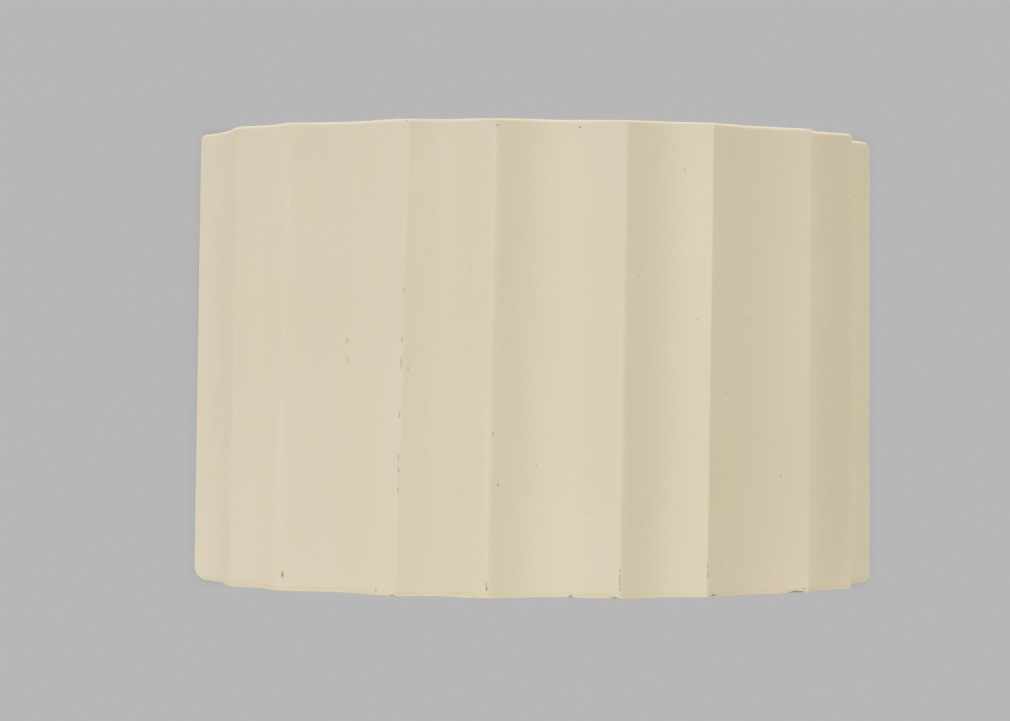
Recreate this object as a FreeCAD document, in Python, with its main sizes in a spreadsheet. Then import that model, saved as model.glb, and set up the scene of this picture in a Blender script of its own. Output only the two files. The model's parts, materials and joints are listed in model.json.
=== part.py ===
"""Fluted plaster wall light: a half-round plaster shade that hangs on a steel wall plate with two lamps.

Millimetres. +Z is up, the wall is the plane Y = 0 and the light stands out from it towards -Y. The origin is
the centre of the cable entry, on the back of the wall plate.
"""

import FreeCAD, Part
import math
import os
import re

import Sketcher

Vector = FreeCAD.Vector

SIZES = {
    # plaster shade: a segment of a circle in plan, fluted outside, open at the top, bottom and back
    "shade_width": 340,
    "shade_depth": 150,
    "shade_height": 222,
    "shade_wall": 13,
    "wide_flutes": 5,
    "narrow_share": 0.69,
    "wide_flute_depth": 8,
    "narrow_flute_depth": 5.4,
    "arris_land": 3,
    "arris_round": 2.5,
    "arris_share": 0.3,
    "rim_round": 1.6,
    "return_thickness": 34,
    "return_round": 6,
    # steel strap across the back of the shade, with an ear screwed to each return
    "strap_height": 25,
    "strap_thickness": 3,
    "strap_ear": 28,
    "strap_bend": 2,
    "strap_level": 52,
    "strap_fit": 0.2,
    "ear_screw_first": 9,
    "ear_screw_pitch": 12,
    # brass inserts cast into the returns, and the screws that hold the strap to them
    "insert_radius": 3.8,
    "insert_length": 12,
    "insert_fit": 0.05,
    "strap_screw_radius": 2,
    "strap_screw_length": 12,
    "strap_screw_head": 3.9,
    "strap_screw_head_height": 2.6,
    "screw_clearance": 0.3,
    "thread_fit": 0.05,
    # wall plate with two hooks for the strap
    "plate_width": 190,
    "plate_height": 150,
    "plate_thickness": 2,
    "plate_corner": 10,
    "slot_spacing": 60.3,
    "slot_radius": 2.5,
    "slot_length": 14,
    "hook_spacing": 120,
    "hook_width": 26,
    "hook_thickness": 2,
    "hook_lip": 12,
    "hook_gap": 0.4,
    # bush that lines the cable entry
    "bush_bore": 6.5,
    "bush_wall": 2.5,
    "bush_flange": 3,
    "bush_flange_thickness": 2.5,
    "bush_round": 1,
    "bush_fit": 0.1,
    # studs pressed into the plate, with their nuts and washers
    "stud_radius": 2,
    "stud_length": 11,
    "nut_across_flats": 7,
    "nut_height": 3.2,
    "washer_radius": 4.5,
    "washer_thickness": 0.8,
    # lamp arms: folded strips from the plate to the lamp holders
    "lamp_spacing": 124,
    "lamp_reach": 72,
    "arm_width": 26,
    "arm_thickness": 2,
    "arm_flange": 34,
    "arm_bend": 2,
    "arm_nose": 20,
    "arm_nose_round": 9,
    "arm_level": 72,
    "arm_stud_top": 7,
    "arm_stud_pitch": 13,
    # hollow threaded nipple and locknut under each holder
    "nipple_radius": 5,
    "nipple_bore": 3.4,
    "nipple_below": 12,
    "nipple_above": 6,
    "nipple_nut_across_flats": 14,
    "nipple_nut_height": 3,
    # lamp holder: dome, skirt, porcelain core, brass screw shell and centre contact
    "holder_radius": 14.5,
    "holder_foot": 11.5,
    "holder_wall": 1.5,
    "dome_round": 20,
    "dome_floor": 3,
    "dome_step": 8,
    "dome_shoulder": 12,
    "dome_height": 20,
    "core_ledge": 2.5,
    "core_height": 21,
    "core_floor": 4,
    "core_fit": 0.2,
    "core_wire_hole": 1.6,
    "core_wire_offset": 5,
    "skirt_rise": 9,
    "skirt_lip": 3,
    "skirt_mouth": 9.7,
    "skirt_wall": 2.2,
    "skirt_round": 2,
    "shell_wall": 0.5,
    "shell_fit": 0.1,
    "shell_lift": 2,
    "shell_recess": 0.5,
    "contact_width": 4,
    "contact_reach": 5,
    "contact_step": 2,
    "contact_thickness": 0.4,
    "contact_rise": 1.2,
    # small round lamp with a screw cap
    "cap_radius": 6.95,
    "cap_fit": 0.25,
    "cap_wall": 0.4,
    "cap_ledge": 0.8,
    "collar_gap": 1.9,
    "collar_radius": 8.9,
    "collar_height": 5,
    "insulator_height": 2.6,
    "insulator_foot_radius": 4.4,
    "insulator_plug": 2,
    "tip_radius": 2.4,
    "tip_height": 0.9,
    "tip_fit": 0.2,
    "globe_radius": 22.5,
    "globe_wall": 1,
    "globe_neck": 8.2,
    "globe_neck_clear": 0.5,
    "globe_neck_round": 10,
    "globe_fit": 0.1,
    # terminal block on the wall plate
    "block_level": 30,
    "block_width": 32,
    "block_height": 17,
    "block_depth": 13,
    "block_round": 1.5,
    "block_axis_depth": 6,
    "block_web": 9,
    "pole_pitch": 11,
    "pole_gap": 2.2,
    "socket_radius": 2.7,
    "socket_bore": 1.7,
    "socket_recess": 1,
    "socket_fit": 0.1,
    "pole_screw_radius": 1.5,
    "pole_screw_pitch": 8,
    "pole_screw_sink": 1.5,
    "pole_screw_grip": 0.7,
    "block_screw_radius": 1.5,
    "block_screw_head": 2.7,
    "block_screw_head_height": 1.8,
    # earth tag on its own stud, and the three sleeved leads
    "earth_stud_offset": 27,
    "tag_radius": 4.6,
    "tag_thickness": 0.8,
    "tag_neck": 3,
    "tag_barrel_radius": 2.2,
    "tag_barrel_length": 7,
    "tag_reach": 6.5,
    "lamp_lead_radius": 1.8,
    "lamp_lead_drop": 3,
    "lamp_lead_bend": 13,
    "lamp_lead_entry": 6,
    "earth_lead_radius": 1.4,
    "earth_lead_rise": 5,
    "earth_lead_bend": 11,
    "earth_lead_entry": 1.5,
}

# Lengths and angles that follow from the sizes above, as expressions in their names.
DERIVED = {
    "half_width": "shade_width / 2",
    "half_height": "shade_height / 2",
    "plan_radius": "(half_width ^ 2 + shade_depth ^ 2) / (2 * shade_depth)",
    "centre_back": "plan_radius - shade_depth",
    "half_sweep": "2 * atan(shade_depth / half_width)",
    "narrow_flutes": "wide_flutes - 1",
    "wide_sweep": "2 * half_sweep / (wide_flutes + narrow_flutes * narrow_share)",
    "narrow_sweep": "wide_sweep * narrow_share",
    "pair_sweep": "wide_sweep + narrow_sweep",
    "land_sweep": "2 * asin(arris_land / (2 * plan_radius))",
    "wide_half": "(wide_sweep - land_sweep) / 2",
    "narrow_half": "(narrow_sweep - land_sweep) / 2",
    "wide_chord": "plan_radius * sin(wide_half)",
    "narrow_chord": "plan_radius * sin(narrow_half)",
    "wide_flute_radius": "(wide_chord ^ 2 + wide_flute_depth ^ 2) / (2 * wide_flute_depth)",
    "narrow_flute_radius": "(narrow_chord ^ 2 + narrow_flute_depth ^ 2) / (2 * narrow_flute_depth)",
    "wide_flute_centre": "plan_radius * cos(wide_half) - wide_flute_depth + wide_flute_radius",
    "narrow_flute_centre": "plan_radius * cos(narrow_half) - narrow_flute_depth + narrow_flute_radius",
    "first_wide": "wide_sweep / 2 - half_sweep",
    "first_narrow": "wide_sweep + narrow_sweep / 2 - half_sweep",
    "wide_turn": "asin(wide_chord / wide_flute_radius) + wide_half",
    "widest_round": "arris_share * arris_land / tan(wide_turn / 2)",
    "hollow_radius": "plan_radius * cos(wide_half) - wide_flute_depth - shade_wall",
    "return_face": "half_width - return_thickness",
    "return_end": "sqrt(hollow_radius ^ 2 - return_face ^ 2)",
    "insert_hole": "insert_radius + insert_fit",
    "insert_end": "return_face + insert_length",
    "strap_half": "return_face - strap_fit",
    "strap_back": "plate_thickness + hook_gap",
    "strap_front": "strap_back + strap_thickness",
    "strap_foot": "strap_level - strap_height / 2",
    "ear_face": "strap_half - strap_thickness",
    "ear_end": "strap_back + strap_ear",
    "ear_screw_near": "strap_back + ear_screw_first",
    "ear_screw_far": "ear_screw_near + ear_screw_pitch",
    "strap_screw_hole": "strap_screw_radius + screw_clearance",
    "strap_screw_thread": "strap_screw_radius + thread_fit",
    "hook_inside": "strap_front + hook_gap",
    "hook_outside": "hook_inside + hook_thickness",
    "bush_radius": "bush_bore + bush_wall",
    "plate_bush_hole": "bush_radius + bush_fit",
    "stud_hole": "stud_radius + screw_clearance",
    "stud_thread": "stud_radius + thread_fit",
    "nut_corner": "nut_across_flats / (2 * cos(30))",
    "lamp_side": "lamp_spacing / 2",
    "arm_top": "arm_thickness - arm_level",
    "arm_front": "plate_thickness + arm_thickness",
    "arm_upper_stud": "arm_flange - arm_level - arm_stud_top",
    "arm_lower_stud": "arm_upper_stud - arm_stud_pitch",
    "tag_front": "plate_thickness + tag_thickness",
    "nipple_nut_corner": "nipple_nut_across_flats / (2 * cos(30))",
    "nipple_hole": "nipple_radius + screw_clearance",
    "nipple_thread": "nipple_radius + thread_fit",
    "nipple_foot": "-(arm_thickness + nipple_below)",
    "thread_radius": "holder_radius - holder_wall - thread_fit",
    "dome_bore": "thread_radius - holder_wall",
    "dome_foot_bore": "dome_bore - core_ledge",
    "core_radius": "dome_bore - core_fit",
    "core_top": "dome_step + core_height",
    "core_seat": "dome_step + core_floor",
    "shell_bore": "cap_radius + cap_fit",
    "shell_radius": "shell_bore + shell_wall",
    "core_bore": "shell_radius + shell_fit",
    "shell_foot": "core_seat + shell_lift",
    "shell_top": "core_top - shell_recess",
    "contact_top": "core_seat + contact_rise",
    "skirt_thread": "holder_radius - holder_wall",
    "skirt_bore": "holder_radius - skirt_wall",
    "skirt_step": "dome_height + thread_fit",
    "lip_foot": "core_top + skirt_rise",
    "skirt_top": "lip_foot + skirt_lip",
    "tip_foot": "contact_top + tip_fit",
    "tip_round": "(tip_radius ^ 2 + tip_height ^ 2) / (2 * tip_height)",
    "insulator_foot": "tip_foot + tip_height",
    "insulator_top_radius": "cap_bore - globe_fit",
    "cap_foot": "insulator_foot + insulator_height",
    "cap_bore": "cap_radius - cap_wall",
    "collar_foot": "core_top + collar_gap",
    "collar_top": "collar_foot + collar_height",
    "collar_bore": "globe_neck + globe_fit",
    "neck_foot": "collar_foot + cap_ledge",
    "neck_bore": "globe_neck - globe_wall",
    "neck_top": "skirt_top + globe_neck_clear",
    "neck_centre": "globe_neck + globe_neck_round",
    "globe_reach": "globe_radius + globe_neck_round",
    "globe_drop": "sqrt(globe_reach ^ 2 - neck_centre ^ 2)",
    "globe_centre": "neck_top + globe_drop",
    "globe_inside": "globe_radius - globe_wall",
    "outer_join": "globe_radius / globe_reach",
    "inner_join": "globe_inside / globe_reach",
    "neck_round_inside": "globe_neck_round + globe_wall",
    "block_axis": "plate_thickness + block_axis_depth",
    "block_front": "plate_thickness + block_depth",
    "block_half": "block_height / 2",
    "socket_hole": "socket_radius + socket_fit",
    "socket_half": "block_half - socket_recess",
    "pole_screw_hole": "pole_screw_radius + socket_fit",
    "pole_screw_face": "block_front - pole_screw_sink",
    "pole_screw_length": "pole_screw_face - block_axis - pole_screw_grip",
    "block_screw_hole": "block_screw_radius + screw_clearance",
    "block_screw_thread": "block_screw_radius + thread_fit",
    "tag_axis": "plate_thickness + tag_barrel_radius",
    "tag_bore": "earth_lead_radius + socket_fit",
    "lamp_lead_level": "arm_top + nipple_foot - lamp_lead_drop - lamp_lead_bend",
    "earth_lead_level": "block_half - block_level + earth_lead_rise + earth_lead_bend",
}

CUT_PAST = 1.0
TOUCHING = 1e-3
SIDES = {"left": -1, "right": 1}
TURNS = {
    "+x": FreeCAD.Rotation(Vector(0, 1, 0), 90),
    "-x": FreeCAD.Rotation(Vector(0, 1, 0), -90),
    "+y": FreeCAD.Rotation(Vector(1, 0, 0), -90),
    "-y": FreeCAD.Rotation(Vector(1, 0, 0), 90),
    "+z": FreeCAD.Rotation(),
}

doc = FreeCAD.newDocument("wall_light")
sheet = doc.addObject("Spreadsheet::Sheet", "sizes")
for row, (alias, number) in enumerate(SIZES.items(), 1):
    sheet.set(f"A{row}", alias)
    sheet.set(f"B{row}", str(number))
    sheet.setAlias(f"B{row}", alias)
doc.recompute()
subparts = []


def bind(text):
    """The expression with each size written as its cell and each derived length written out."""

    def swap(match):
        word = match.group(0)
        if word in DERIVED:
            return "(" + bind(DERIVED[word]) + ")"
        return "sizes." + word if word in SIZES else word

    return re.sub(r"[a-z]\w*", swap, text)


def value(text):
    """The expression's number, in millimetres or degrees."""
    found = sheet.evalExpression(bind(text))
    return float(getattr(found, "Value", found))


def subpart(thing, label):
    """Marks a finished object as a sub-part, whose label names its file."""
    thing.Label = label
    subparts.append(thing)
    return thing


def place(thing, x="0", y="0", z="0", along="+z"):
    """Ties an object's place to the sizes, with its own +Z turned along an axis."""
    thing.Placement = FreeCAD.Placement(Vector(), TURNS[along])
    for axis, text in zip("xyz", (x, y, z)):
        thing.setExpression(f"Placement.Base.{axis}", bind(text))
    return thing


# Helpers for bodies made from sketches


def new_body(name, **spot):
    """An empty body, placed as place() does."""
    return place(doc.addObject("PartDesign::Body", name), **spot)


def origin_plane(body, role):
    return next(feature for feature in body.Origin.OriginFeatures if feature.Role == role)


def new_sketch(body, name, plane, lift="0"):
    """An empty sketch on one of the body's origin planes, lifted along the plane's normal."""
    sketch = body.newObject("Sketcher::SketchObject", name)
    sketch.AttachmentSupport = [(origin_plane(body, plane), "")]
    sketch.MapMode = "FlatFace"
    sketch.setExpression("AttachmentOffset.Base.z", bind(lift))
    return sketch


def tie(sketch, constraint, text):
    """Adds a dimension to a sketch and ties it to the sizes."""
    index = sketch.addConstraint(constraint)
    sketch.renameConstraint(index, f"size{index}")
    sketch.setExpression(f"Constraints.size{index}", bind(text))


def arc_between(start, end, radius):
    """The arc under a half turn from start to end: anticlockwise where the radius is positive."""
    half = (end - start) * 0.5
    inward = Vector(-half.y, half.x, 0).normalize() * math.copysign(1, radius)
    centre = start + half + inward * math.sqrt(radius**2 - half.Length**2)
    crest = centre - inward * abs(radius)
    return Part.Arc(start, crest, end) if radius > 0 else Part.Arc(end, crest, start)


def outline(sketch, corners):
    """A closed outline through corners (x, y) or (x, y, radius).

    A radius makes the edge that leaves its corner an arc, clockwise where a minus sign leads its text.
    """
    points = [Vector(value(corner[0]), value(corner[1]), 0) for corner in corners]
    edges = []
    for number, corner in enumerate(corners):
        start, end = points[number], points[(number + 1) % len(points)]
        curved = len(corner) == 3
        shape = arc_between(start, end, value(corner[2])) if curved else Part.LineSegment(start, end)
        clockwise = curved and corner[2].startswith("-")
        edges.append((sketch.addGeometry(shape, False), 2 if clockwise else 1))
    for (edge, first), (after, after_first) in zip(edges, edges[1:] + edges[:1]):
        sketch.addConstraint(Sketcher.Constraint("Coincident", edge, 3 - first, after, after_first))
    for (edge, first), point, corner in zip(edges, points, corners):
        tie(sketch, Sketcher.Constraint("DistanceX", edge, first, point.x), corner[0])
        tie(sketch, Sketcher.Constraint("DistanceY", edge, first, point.y), corner[1])
        if len(corner) == 3:
            radius = corner[2].lstrip("-")
            tie(sketch, Sketcher.Constraint("Radius", edge, value(radius)), radius)
    return sketch


def circle(sketch, x, y, radius):
    """Adds a full circle to a sketch."""
    centre = Vector(value(x), value(y), 0)
    edge = sketch.addGeometry(Part.Circle(centre, Vector(0, 0, 1), value(radius)), False)
    tie(sketch, Sketcher.Constraint("Radius", edge, value(radius)), radius)
    tie(sketch, Sketcher.Constraint("DistanceX", edge, 3, centre.x), x)
    tie(sketch, Sketcher.Constraint("DistanceY", edge, 3, centre.y), y)
    return sketch


def slot(sketch, x, y, length, radius):
    """Adds a round-ended slot that runs along the sketch's X axis."""
    straight = f"({length} / 2 - {radius})"
    corners = [
        (f"{x} - {straight}", f"{y} - {radius}"),
        (f"{x} + {straight}", f"{y} - {radius}", radius),
        (f"{x} + {length} / 2", y, radius),
        (f"{x} + {straight}", f"{y} + {radius}"),
        (f"{x} - {straight}", f"{y} + {radius}", radius),
        (f"{x} - {length} / 2", y, radius),
    ]
    return outline(sketch, corners)


def rectangle(sketch, left, low, right, high):
    """Adds a rectangle to a sketch."""
    return outline(sketch, [(left, low), (right, low), (right, high), (left, high)])


def pad(body, sketch, length, both_ways=False):
    """Raises a sketch along its normal, or half the length to each side."""
    feature = body.newObject("PartDesign::Pad", "pad_" + sketch.Name)
    feature.Profile = sketch
    feature.Midplane = both_ways
    feature.setExpression("Length", bind(length))
    doc.recompute()
    return feature


def pocket(body, sketch, length=None, both_ways=False):
    """Cuts a sketch against its normal to a depth, half to each side, or with no length right through."""
    before = body.Shape.Volume
    feature = body.newObject("PartDesign::Pocket", "cut_" + sketch.Name)
    feature.Profile = sketch
    feature.Midplane = both_ways or length is None
    if length is None:
        feature.Type = "ThroughAll"
    else:
        feature.setExpression("Length", bind(length))
    doc.recompute()
    if body.Shape.Volume > before - TOUCHING:
        raise RuntimeError(f"{feature.Name} cuts nothing")
    return feature


def revolve(body, sketch):
    """Turns a sketch right round its own vertical axis."""
    feature = body.newObject("PartDesign::Revolution", "turn_" + sketch.Name)
    feature.Profile = sketch
    feature.ReferenceAxis = (sketch, ["V_Axis"])
    feature.Angle = 360
    doc.recompute()
    return feature


def repeat_round(body, feature, sketch, count, sweep):
    """Repeats a cut about the body's vertical axis, with the copies spread evenly over the sweep."""
    pattern = body.newObject("PartDesign::PolarPattern", "ring_" + sketch.Name)
    pattern.Originals = [feature]
    pattern.Axis = (sketch, ["N_Axis"])
    pattern.setExpression("Occurrences", bind(count))
    pattern.setExpression("Angle", bind(sweep))
    body.Tip = pattern
    doc.recompute()
    return pattern


def mirror(body, feature, plane):
    """Repeats a feature on the other side of an origin plane."""
    copy = body.newObject("PartDesign::Mirrored", "mirror_" + feature.Name)
    copy.Originals = [feature]
    copy.MirrorPlane = (origin_plane(body, plane), [""])
    body.Tip = copy
    doc.recompute()
    return copy


def round_edges(body, name, radius, test):
    """Rounds the edges whose two ends and middle, in the body's own frame, pass a test."""
    base = body.Tip
    names = []
    for number, edge in enumerate(base.Shape.Edges, 1):
        middle = edge.valueAt((edge.FirstParameter + edge.LastParameter) / 2)
        ends = [vertex.Point for vertex in edge.Vertexes]
        if test(ends[0], ends[-1], middle):
            names.append(f"Edge{number}")
    if not names:
        raise RuntimeError(f"{name} finds no edge")
    feature = body.newObject("PartDesign::Fillet", name)
    feature.Base = (base, names)
    feature.setExpression("Radius", bind(radius))
    doc.recompute()
    return feature


def near(first, second):
    return abs(first - second) < TOUCHING


def runs_along(start, end, axis):
    """Whether an edge runs straight along one axis."""
    same = [near(getattr(start, other), getattr(end, other)) for other in "xyz" if other != axis]
    return all(same) and not near(getattr(start, axis), getattr(end, axis))


def turned(label, corners, **spot):
    """A body turned round its own Z axis from an outline of (radius, height) corners."""
    body = new_body(label, **spot)
    revolve(body, outline(new_sketch(body, "profile_" + label, "XZ_Plane"), corners))
    return subpart(body, label)


# Helpers for pieces made from cylinders, prisms and boxes


def rod(name, radius, length, **spot):
    """A cylinder."""
    thing = doc.addObject("Part::Cylinder", name)
    thing.setExpression("Radius", bind(radius))
    thing.setExpression("Height", bind(length))
    return place(thing, **spot)


def hexagon(name, corner, length, **spot):
    """A six-sided prism."""
    thing = doc.addObject("Part::Prism", name)
    thing.Polygon = 6
    thing.setExpression("Circumradius", bind(corner))
    thing.setExpression("Height", bind(length))
    return place(thing, **spot)


def cut(base, tool):
    thing = doc.addObject("Part::Cut", base.Name + "_cut")
    thing.Base = base
    thing.Tool = tool
    return thing


def fuse(name, *things):
    thing = doc.addObject("Part::MultiFuse", name)
    thing.Shapes = list(things)
    return thing


def ring(name, radius, bore, length, **spot):
    """A washer, tube or sleeve."""
    return cut(rod(name, radius, length, **spot), rod(name + "_bore", bore, length, **spot))


def nut(name, corner, bore, length, **spot):
    """A plain hexagon nut."""
    return cut(hexagon(name, corner, length, **spot), rod(name + "_bore", bore, length, **spot))


def group(label, things):
    """Several like solids in one sub-part."""
    thing = doc.addObject("Part::Compound", label)
    thing.Links = list(things)
    return subpart(thing, label)


# Shade and what is fixed to it


def plaster_shade():
    """The cast shade: its body's axis is the centre of the plan circle, behind the wall."""
    body = new_body("plaster_shade", y="centre_back")
    plan = new_sketch(body, "shade_plan", "XY_Plane")
    outline(plan, [
        ("-half_width", "-centre_back", "plan_radius"),
        ("0", "-plan_radius", "plan_radius"),
        ("half_width", "-centre_back"),
    ])
    pad(body, plan, "shade_height", both_ways=True)
    hollow = new_sketch(body, "shade_hollow", "XY_Plane")
    outline(hollow, [
        ("-return_face", f"{CUT_PAST} - centre_back"),
        ("-return_face", "-return_end", "hollow_radius"),
        ("0", "-hollow_radius", "hollow_radius"),
        ("return_face", "-return_end"),
        ("return_face", f"{CUT_PAST} - centre_back"),
    ])
    pocket(body, hollow)
    for kind in ("wide", "narrow"):
        flute = new_sketch(body, f"{kind}_flute", "XY_Plane")
        across = f"{kind}_flute_centre * sin(first_{kind})"
        forward = f"-{kind}_flute_centre * cos(first_{kind})"
        circle(flute, across, forward, f"{kind}_flute_radius")
        repeat_round(body, pocket(body, flute), flute, f"{kind}_flutes", f"({kind}_flutes - 1) * pair_sweep")
    plan_radius, wall, half_height = value("plan_radius"), value("-centre_back"), value("half_height")

    def is_arris(start, end, middle):
        on_plan = near(math.hypot(middle.x, middle.y), plan_radius)
        return runs_along(start, end, "z") and on_plan and not near(middle.y, wall)

    def is_return_corner(start, end, middle):
        at_corner = near(middle.y, value("-return_end")) and near(abs(middle.x), value("return_face"))
        return runs_along(start, end, "z") and at_corner

    def is_rim(start, end, middle):
        flat = all(near(abs(point.z), half_height) for point in (start, end, middle))
        return flat and not near(middle.y, wall)

    round_edges(body, "arris_rounds", "min(arris_round; widest_round)", is_arris)
    round_edges(body, "return_rounds", "return_round", is_return_corner)
    round_edges(body, "rim_rounds", "rim_round", is_rim)
    inserts = new_sketch(body, "insert_holes", "YZ_Plane")
    for reach in ("ear_screw_near", "ear_screw_far"):
        circle(inserts, f"-{reach} - centre_back", "strap_level", "insert_hole")
    pocket(body, inserts, "2 * insert_end", both_ways=True)
    return subpart(body, "plaster_shade")


def back_strap():
    """Flat bar folded to a wide U, with two screw holes in each ear."""
    body = new_body("back_strap", z="strap_level")
    bar = new_sketch(body, "strap_plan", "XY_Plane")
    outline(bar, [
        ("-strap_half", "-strap_back"),
        ("-strap_half", "-ear_end"),
        ("-ear_face", "-ear_end"),
        ("-ear_face", "-strap_front"),
        ("ear_face", "-strap_front"),
        ("ear_face", "-ear_end"),
        ("strap_half", "-ear_end"),
        ("strap_half", "-strap_back"),
    ])
    pad(body, bar, "strap_height", both_ways=True)

    def is_outer_fold(start, end, middle):
        return runs_along(start, end, "z") and near(middle.y, value("-strap_back"))

    def is_inner_fold(start, end, middle):
        return runs_along(start, end, "z") and near(middle.y, value("-strap_front"))

    round_edges(body, "strap_outer_folds", "strap_bend + strap_thickness", is_outer_fold)
    round_edges(body, "strap_inner_folds", "strap_bend", is_inner_fold)
    holes = new_sketch(body, "ear_holes", "YZ_Plane")
    for reach in ("ear_screw_near", "ear_screw_far"):
        circle(holes, f"-{reach}", "0", "strap_screw_hole")
    pocket(body, holes)
    return subpart(body, "back_strap")


def strap_fixings():
    """Two screws on each side, each in its own cast-in brass insert."""
    inserts = []
    screws = []
    for side, sign in SIDES.items():
        outward, inward = ("+x", "-x") if sign > 0 else ("-x", "+x")
        for reach in ("ear_screw_near", "ear_screw_far"):
            spot = {"y": f"-{reach}", "z": "strap_level"}
            name = f"{side}_{reach}"
            seat = f"{sign} * return_face"
            face = f"{sign} * ear_face"
            inserts.append(ring(f"insert_{name}", "insert_radius", "strap_screw_thread", "insert_length",
                                x=seat, along=outward, **spot))
            shank = rod(f"shank_{name}", "strap_screw_radius", "strap_screw_length",
                        x=face, along=outward, **spot)
            head = rod(f"head_{name}", "strap_screw_head", "strap_screw_head_height",
                       x=face, along=inward, **spot)
            screws.append(fuse(f"screw_{name}", shank, head))
    group("shade_inserts", inserts)
    group("strap_screws", screws)


# Wall plate and what is fixed to it


ARM_STUDS = [(f"{sign} * lamp_side", level) for sign in SIDES.values()
             for level in ("arm_upper_stud", "arm_lower_stud")]
EARTH_STUD = ("earth_stud_offset", "-block_level")


def wall_plate():
    """Flat steel plate with two screw slots, a cable entry, stud holes and two folded hooks."""
    body = new_body("wall_plate")
    face = new_sketch(body, "plate_face", "XZ_Plane")
    rectangle(face, "-plate_width / 2", "-plate_height / 2", "plate_width / 2", "plate_height / 2")
    pad(body, face, "plate_thickness")
    round_edges(body, "plate_corners", "plate_corner", lambda start, end, middle: runs_along(start, end, "y"))
    openings = new_sketch(body, "plate_openings", "XZ_Plane")
    for sign in SIDES.values():
        slot(openings, f"{sign} * slot_spacing / 2", "0", "slot_length", "slot_radius")
        circle(openings, f"{sign} * pole_pitch / 2", "-block_level", "block_screw_thread")
    circle(openings, "0", "0", "plate_bush_hole")
    for across, level in ARM_STUDS + [EARTH_STUD]:
        circle(openings, across, level, "stud_thread")
    pocket(body, openings)
    hook = new_sketch(body, "hook_side", "YZ_Plane", lift="hook_spacing / 2")
    outline(hook, [
        ("-plate_thickness", "strap_foot - hook_thickness"),
        ("-hook_outside", "strap_foot - hook_thickness"),
        ("-hook_outside", "strap_foot + hook_lip"),
        ("-hook_inside", "strap_foot + hook_lip"),
        ("-hook_inside", "strap_foot"),
        ("-plate_thickness", "strap_foot"),
    ])
    mirror(body, pad(body, hook, "hook_width", both_ways=True), "YZ_Plane")

    def is_hook_fold(start, end, middle):
        at_foot = near(middle.z, value("strap_foot - hook_thickness"))
        return runs_along(start, end, "x") and at_foot and near(middle.y, value("-hook_outside"))

    round_edges(body, "hook_folds", "hook_thickness", is_hook_fold)
    return subpart(body, "wall_plate")


def cable_bush():
    """Rubber bush pressed into the cable entry, flush with the back of the plate."""
    body = turned("cable_bush", [
        ("bush_bore", "0"),
        ("bush_radius", "0"),
        ("bush_radius", "plate_thickness"),
        ("bush_radius + bush_flange", "plate_thickness"),
        ("bush_radius + bush_flange", "plate_thickness + bush_flange_thickness"),
        ("bush_bore", "plate_thickness + bush_flange_thickness"),
    ], along="-y")
    front = value("plate_thickness + bush_flange_thickness")
    round_edges(body, "bush_edge", "bush_round", lambda start, end, middle: near(middle.z, front))


def plate_studs():
    """Pressed-in studs for the two arms and for the earth tag, with a washer and a nut on each."""
    studs = []
    washers = []
    nuts = []
    seats = [(across, level, "arm_front") for across, level in ARM_STUDS] + [(*EARTH_STUD, "tag_front")]
    for number, (across, level, seat) in enumerate(seats, 1):
        spot = {"x": across, "z": level, "along": "-y"}
        studs.append(rod(f"stud_{number}", "stud_radius", "stud_length", **spot))
        washers.append(ring(f"washer_{number}", "washer_radius", "stud_hole", "washer_thickness",
                            y=f"-{seat}", **spot))
        nuts.append(nut(f"nut_{number}", "nut_corner", "stud_thread", "nut_height",
                        y=f"-{seat} - washer_thickness", **spot))
    group("plate_studs", studs)
    group("stud_washers", washers)
    group("stud_nuts", nuts)


def terminal_block():
    """Three-pole block with a wire bore and two screw wells for each pole."""
    body = new_body("terminal_block", z="-block_level")
    face = new_sketch(body, "block_face", "XZ_Plane", lift="plate_thickness")
    rectangle(face, "-block_width / 2", "-block_half", "block_width / 2", "block_half")
    pad(body, face, "block_depth")
    round_edges(body, "block_corners", "block_round", lambda start, end, middle: runs_along(start, end, "y"))
    gaps = new_sketch(body, "pole_gaps", "XZ_Plane")
    holes = new_sketch(body, "block_screw_holes", "XZ_Plane")
    for sign in SIDES.values():
        left, right = f"({sign} * pole_pitch - pole_gap) / 2", f"({sign} * pole_pitch + pole_gap) / 2"
        rectangle(gaps, left, "block_web / 2", right, f"block_half + {CUT_PAST}")
        rectangle(gaps, left, f"-block_half - {CUT_PAST}", right, "-block_web / 2")
        circle(holes, f"{sign} * pole_pitch / 2", "0", "block_screw_hole")
    pocket(body, gaps)
    pocket(body, holes)
    bores = new_sketch(body, "pole_bores", "XY_Plane")
    wells = new_sketch(body, "screw_wells", "XZ_Plane", lift="block_front")
    for pole in (-1, 0, 1):
        circle(bores, f"{pole} * pole_pitch", "-block_axis", "socket_hole")
        for level in (-1, 1):
            circle(wells, f"{pole} * pole_pitch", f"{level} * pole_screw_pitch / 2", "pole_screw_hole")
    pocket(body, bores)
    pocket(body, wells, "block_front - block_axis")
    return subpart(body, "terminal_block")


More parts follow.
